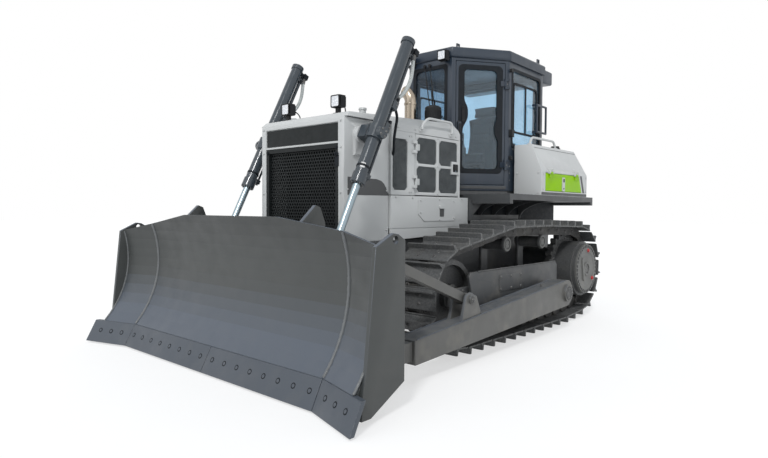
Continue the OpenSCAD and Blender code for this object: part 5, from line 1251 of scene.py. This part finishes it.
def make_lift(side):
    s = SIDES[side]
    body = "barrel_" + side
    origin = at(LIFT_AT[0], s * LIFT_Y, LIFT_AT[1])

    def q(back, y, up):
        return origin + LIFT_BACK * back + Vector((0, s * y, 0)) + LIFT_UP * up

    parts = heap("barrel_parts_" + side, SLATE, body, bevel=0.002)
    heads = heap("barrel_bolts_" + side, BOLT, body)
    dark = heap("barrel_lines_" + side, RUBBER, body)
    for k in range(8):
        t = math.radians(45 * k + 22)
        p = q(0.048 * math.cos(t), 0.048 * math.sin(t), -0.472)
        bolt(heads, p, -LIFT_UP, 0.006, 0.008)
    rod(parts, q(0, 0, 0.950), q(0, 0, 0.962), 0.058, 32, 0.050)
    for k in range(6):
        t = math.radians(60 * k)
        bolt(heads, q(0.036 * math.cos(t), 0.036 * math.sin(t), 0.961), LIFT_UP, 0.007, 0.007)
    rod(parts, q(0, 0.060, 0), q(0, 0.094, 0), 0.058, 32, 0.050)
    side_bolts(heads, q, 0.093, disc_points(0, 0, 0.034, 4, 45), 0.008, 0.008)
    band = ((0.0575, -0.330), (0.0535, -0.330), (0.0575, -0.312), (0.0535, -0.312))
    ring(dark, *[[q(a, b, up) for a, b in disc_points(0, 0, r, 36)] for r, up in band])
    tube(dark, bent([q(0.085, 0, 0.865), q(0.085, 0, 0.915), q(0.050, 0, 0.930)], 0.03), 0.017, 14)
    rod(dark, q(0.085, 0, 0.815), q(0.085, 0, 0.850), 0.024, 6)
    rod(dark, q(0.085, 0, 0.345), q(0.085, 0, 0.385), 0.024, 6)
    for up in (0.075, 0.300):
        rod(dark, q(0.100, 0.020, up + 0.075), q(0.100, 0.020, up + 0.105), 0.016, 6)
        side_bolts(heads, q, 0.039, [(0.095, up + 0.03), (0.095, up + 0.058)], 0.008, 0.008)
    plate = heap("barrel_plate_" + side, BLANK, body)
    turns = [math.radians(a) for a in range(20, 70, 10)]
    arc = [(-0.0545 * math.cos(t), 0.0545 * math.sin(t)) for t in turns]
    outline = [(a, b, -0.345) for a, b in arc] + [(a, b, -0.300) for a, b in arc[::-1]]
    slab(plate, *[[q(a * grow, b * grow, up) for a, b, up in outline] for grow in (1.0, 1.03)])
    rod(dark, q(0.045, 0, 0.905), q(0.120, 0, 0.925), 0.020, 18)
    cuboid(dark, q, (0.095, 0.148), (-0.026, 0.026), (0.888, 0.940))
    nuts = heap("hose_nuts_" + side, BOLT, body)
    rod(nuts, q(0.118, 0, 0.892), q(0.131, 0, 0.838), 0.023, 6)
    rod(nuts, q(0.098, 0, 0.395), q(0.112, 0, 0.425), 0.023, 6)
    braid = smooth_path([q(back, 0, up) for back, up in BRAID_ROUTE])
    hose(side, "braided_hose_", braid[::-1], 0.017, BRAID, body)
    line = smooth_path([at(x, s * y, z) for x, y, z in LIFT_ROUTE] + [q(0.130, -0.020, 0.350)])
    hose(side, "lift_hose_", line, 0.0125, RUBBER, None)
    eye = heap("rod_collar_" + side, SLATE, "rod_" + side, bevel=0.002)
    rod(eye, q(0, 0, -1.320), q(0, 0, -1.285), 0.046, 32, 0.036)


for side in SIDES:
    make_lift(side)

# Cab: door gaskets, handles, wipers, window frames, roof fittings

DOOR_FROM, DOOR_DIR = (1.460, 0.300), (-0.8182, 0.5750)
SIDE_FROM, SIDE_DIR = (0.905, 0.690), (-0.9994, -0.0343)
PANE_TOP = 2.8795


def wall(side, start, direction):
    """A mapper on a cab wall: along it from its front, outwards, and up."""
    s = SIDES[side]
    normal = (direction[1], -direction[0])

    def q(along, out, z):
        x = start[0] + direction[0] * along + normal[0] * out
        y = start[1] + direction[1] * along + normal[1] * out
        return at(x, s * y, z)

    return q


def make_cab_side(side):
    body = "door_" + side
    q = wall(side, DOOR_FROM, DOOR_DIR)
    gasket = heap("door_gasket_" + side, RUBBER, body, bevel=0.0015)
    outer = rounded(0.076, 0.602, 1.690, 2.888, 0.055, 6, 40)
    inner = rounded(0.146, 0.530, 1.742, 2.834, 0.050, 6, 40)

    def wavy(a, z):
        """The waists of the pane: round the handle in front, lower down at the hinges."""
        front, back = math.exp(-((z - 2.34) / 0.125) ** 4), math.exp(-((z - 2.17) / 0.095) ** 4)
        front_low, back_low = (1 / (1 + math.exp((z - step) / 0.015)) for step in (2.28, 2.12))
        share = (0.530 - a) / (0.530 - 0.146)
        at_front, at_back = 0.044 * front - 0.018 * front_low, 0.020 * back_low - 0.024 * back
        return a + share * at_front + (1 - share) * at_back, z

    side_ring(gasket, q, outer, [wavy(a, z) for a, z in inner], -0.0135, 0.0035)
    handle = heap("door_handle_" + side, BLACK, body, bevel=0.003)
    side_slab(handle, q, rounded(0.062, 0.108, 2.045, 2.265, 0.018), 0.0, 0.010)
    side_slab(handle, q, rounded(0.072, 0.098, 2.075, 2.235, 0.010), 0.029, 0.036)
    side_slab(handle, q, rounded(0.116, 0.148, 2.250, 2.430, 0.012), 0.003, 0.016)
    rod(handle, q(0.132, 0.014, 2.412), q(0.132, 0.026, 2.412), 0.011, 16)
    heads = heap("cab_door_bolts_" + side, BOLT, body)
    frame_heads = heap("cab_bolts", BOLT)
    for z in (1.792, 2.695):
        hinge_bolts(heads, q, 0.600, 0.0015, z, 0.022)
        hinge_bolts(frame_heads, q, 0.655, 0.0015, z, 0.040)
    sill = heap("door_sills", DARK, bevel=0.002)
    side_slab(sill, q, rounded(0.030, 0.650, 1.520, 1.552, 0.008), -0.004, 0.006)

    q = wall(side, SIDE_FROM, SIDE_DIR)
    trim = heap("side_window_trim", RUBBER, bevel=0.0015)
    side_ring(trim, q, rounded(0.062, 0.814, 1.990, 2.892, 0.040), rounded(0.094, 0.782, 2.026, 2.858, 0.045),
              -0.0135, 0.004)
    side_ring(trim, q, rounded(0.118, 0.738, 2.165, 2.745, 0.050), rounded(0.142, 0.714, 2.189, 2.721, 0.034),
              -0.0139, -0.003)
    side_slab(trim, q, [(0.412, 2.180), (0.440, 2.180), (0.440, 2.730), (0.412, 2.730)], -0.0138, -0.002)
    bracket = heap("cab_brackets", BLACK, bevel=0.003)
    for low, high, deep in ((2.105, 2.190, 0.045), (1.850, 1.895, 0.030), (2.835, 2.870, 0.030)):
        side_slab(bracket, q, rounded(0.004, 0.052, low, high, 0.008), -0.001, deep)
    side_slab(sill, q, rounded(0.080, 0.800, 1.968, 1.986, 0.006), -0.001, 0.005)
    hinge_bolts(frame_heads, q, 0.030, 0.0005, 1.70, 0.08)
    hinge_bolts(frame_heads, q, 0.845, 0.0005, 1.70, 0.08)
    glass = heap("side_panes", GLASS)
    cuboid(glass, q, (0.0755, 0.800), (-0.022, -0.014), (2.0005, PANE_TOP))


def make_cab():
    for side in SIDES:
        make_cab_side(side)
    trim = heap("windshield_trim", RUBBER, bevel=0.0015)
    for half, low, x in ((0.240, 1.706, 1.4465), (0.570, 1.986, 0.0265)):
        inner = rounded(0.040 - half, half - 0.040, low + 0.044, 2.852, 0.045)
        front_ring(trim, at, rounded(-half, half, low, 2.894, 0.035), inner, x, x + 0.017)
    cuboid(heap("windshield_pane", SCREEN), at, (1.438, 1.446), (-0.2245, 0.2245), (1.7205, PANE_TOP))
    cuboid(heap("rear_pane", GLASS), at, (0.044, 0.052), (-0.554, 0.554), (2.0005, PANE_TOP))
    wiper = heap("windshield_wipers", BLACK, bevel=0.0015)
    for y0, y1, z1 in ((-0.070, 0.085, 2.02), (0.000, 0.150, 2.05)):
        tube(wiper, [at(1.470, y0, 2.905), at(1.478, y0 * 0.6 + y1 * 0.4, 2.55), at(1.470, y1, z1)], 0.006, 8)
        rod(wiper, at(1.458, y0, 2.905), at(1.480, y0, 2.905), 0.018, 18)
    front_slab(wiper, at, [(0.020, 2.62), (0.032, 2.62), (0.110, 1.86), (0.098, 1.86)], 1.458, 1.472)
    tube(wiper, [at(0.020, 0.10, 1.975), at(0.016, 0.10, 2.2), at(0.022, 0.10, 2.44)], 0.006, 8)
    front_slab(wiper, at, [(0.094, 2.18), (0.106, 2.18), (0.106, 2.72), (0.094, 2.72)], 0.016, 0.030)
    roof = heap("roof_vents", BLACK, bevel=0.002)
    for k in range(9):
        z = 2.910 + 0.015 * k
        cuboid(roof, at, (-0.306, -0.2985), (-0.42, 0.42), (z, z + 0.007))
    plan_slab(roof, at, rounded(0.25, 0.95, -0.36, 0.36, 0.05), 3.069, 3.078)
    heads = heap("roof_bolts", BOLT)
    bolts(heads, at, product((0.29, 0.60, 0.91), (-0.32, 0.32), (3.077,)), (0, 0, 1), 0.008, 0.007)
    end_bolts(heads, at, -0.300, product((-0.55, 0.55), (2.905, 3.02)), 0.008, 0.007, -1)


make_cab()

# Tanks: stripes, seams, caps; a black sheet on the deck's wall as painted shade, and the deck's treads; the
# rear

TANK_Y, DECK_WALL_Y = 1.050, 0.520


def make_tank(side):
    q = mirrored(side)
    body = "lid_" + side
    stripe = heap("tank_stripes", DARK, bevel=0.0005)
    proud = (TANK_Y - 0.0005, TANK_Y + 0.0012)
    side_slab(stripe, q, [(-0.350, 1.500), (-0.300, 1.500), (-0.217, 1.707), (-0.267, 1.707)], *proud)
    cuboid(stripe, q, (-0.418, 0.804), proud, (1.456, 1.488))
    seam = heap("tank_seams", DARK)
    tube(seam, [q(-0.290 + 0.06 * k, 0.9445, 1.9855) for k in range(19)], 0.0022, 8)
    caps = heap("tank_caps", BLACK, bevel=0.003)
    rod(caps, q(0.02, 0.830, 2.019), q(0.02, 0.830, 2.040), 0.062, 36)
    rod(caps, q(0.02, 0.830, 2.039), q(0.02, 0.830, 2.066), 0.054, 12, 0.050)
    latch = heap("lid_latch_" + side, BLACK, body, bevel=0.002)
    plate = heap("lid_plate_" + side, LIGHT, body, bevel=0.001)
    side_slab(plate, q, rounded(0.229, 0.293, 1.506, 1.668, 0.008), 1.0505, 1.0615)
    side_slab(latch, q, rounded(0.247, 0.275, 1.612, 1.652, 0.006), 1.0610, 1.0650)
    side_slab(latch, q, rounded(0.250, 0.272, 1.530, 1.546, 0.004), 1.0610, 1.0640)
    lid_heads = heap("lid_bolts_" + side, BOLT, body)
    for x in (-0.079, 0.600):
        side_bolts(lid_heads, q, TANK_Y + 0.001, [(x - 0.018, 1.672), (x + 0.018, 1.672)], 0.006, 0.005)
    heads = heap("tank_bolts", LIGHT)
    side_bolts(heads, q, TANK_Y, product((0.765, -0.395), (1.520, 1.690)), 0.008, 0.007)
    end_bolts(heads, q, 0.810, product((0.75, 1.01), (1.48, 1.70)), 0.008, 0.007)
    # A thin black sheet on the deck's centre wall: painted shade where that wall lies in shadow.
    outline = [(-0.616, 1.146), (1.426, 1.146), (1.426, 1.386), (-0.556, 1.386), (-0.556, 1.346),
               (-0.616, 1.346)]
    side_slab(heap("deck_wall_shade_sheet", RUBBER), q, outline, DECK_WALL_Y - 0.0050, DECK_WALL_Y + 0.0025)
    tread = heap("deck_treads", BLACK)
    for i in range(16):
        for j in range(9):
            x, y = 0.86 + 0.038 * i, 0.70 + 0.038 * j
            if i % 2 == j % 2:
                rod(tread, q(x, y, 1.4515), q(x, y, 1.456), 0.011, 8, 0.007)
    lamp = heap("rear_lamps", RED, bevel=0.002)
    cuboid(lamp, q, (-0.428, -0.4205), (0.90, 0.98), (1.60, 1.66))


def make_rear():
    heads = heap("tank_bolts", LIGHT)
    end_bolts(heads, at, -0.580, product((-0.42, 0.42), (1.22, 1.50)), 0.010, 0.009, -1)
    caps = heap("tank_caps", BLACK, bevel=0.003)
    rod(caps, at(-0.30, 0.25, 1.829), at(-0.30, 0.25, 1.852), 0.060, 36)
    rod(caps, at(-0.30, 0.25, 1.851), at(-0.30, 0.25, 1.880), 0.052, 12, 0.048)
    panel = heap("rear_covers", DARK, bevel=0.004)
    front_slab(panel, at, rounded(-0.26, 0.26, 1.20, 1.50, 0.03), -0.586, -0.578)
    front_slab(panel, at, rounded(-0.30, 0.30, 0.86, 1.06, 0.03), -0.568, -0.558)
    end_bolts(heads, at, -0.586, product((-0.235, 0.235), (1.225, 1.475)), 0.009, 0.008, -1)
    end_bolts(heads, at, -0.568, product((-0.27, 0, 0.27), (0.885, 1.035)), 0.011, 0.010, -1)
    pin = heap("drawbar_pin", CAST, bevel=0.003)
    rod(pin, at(-0.635, 0, 0.735), at(-0.635, 0, 0.765), 0.042, 28)
    rod(pin, at(-0.635, 0, 0.545), at(-0.635, 0, 0.737), 0.0250, 28)


for side in SIDES:
    make_tank(side)
make_rear()

PIECES = close_heaps()
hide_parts("cab_glass")

# Floor: pale, and white to the camera, with the object's shadow

FLOOR_SIZE, FLOOR_GLOW = 60.0, 0.58


def make_floor():
    bm = bmesh.new()
    bmesh.ops.create_grid(bm, x_segments=8, y_segments=8, size=FLOOR_SIZE)
    mesh = bpy.data.meshes.new("floor")
    bm.to_mesh(mesh)
    bm.free()
    s = Shader("floor_white", 0.9)
    s.bsdf.inputs["Emission Color"].default_value = (1, 1, 1, 1)
    path = s.nodes.new("ShaderNodeLightPath").outputs
    seen = s.math("MAXIMUM", path["Is Camera Ray"], path["Is Glossy Ray"])
    seen = s.math("MAXIMUM", seen, path["Is Transmission Ray"])
    s.links.new(s.times(seen, FLOOR_GLOW), s.bsdf.inputs["Emission Strength"])
    pale = s.mix(s.ramp(s.noise(0.8, 3), 0.3, 0.7), (0.45, 0.45, 0.45), (0.47, 0.47, 0.47))
    s.colour(s.mix(seen, (0.92, 0.92, 0.92), pale))
    mesh.materials.append(s.material)
    floor = bpy.data.objects.new("floor", mesh)
    floor.location.z = -0.002
    bpy.context.scene.collection.objects.link(floor)


make_floor()
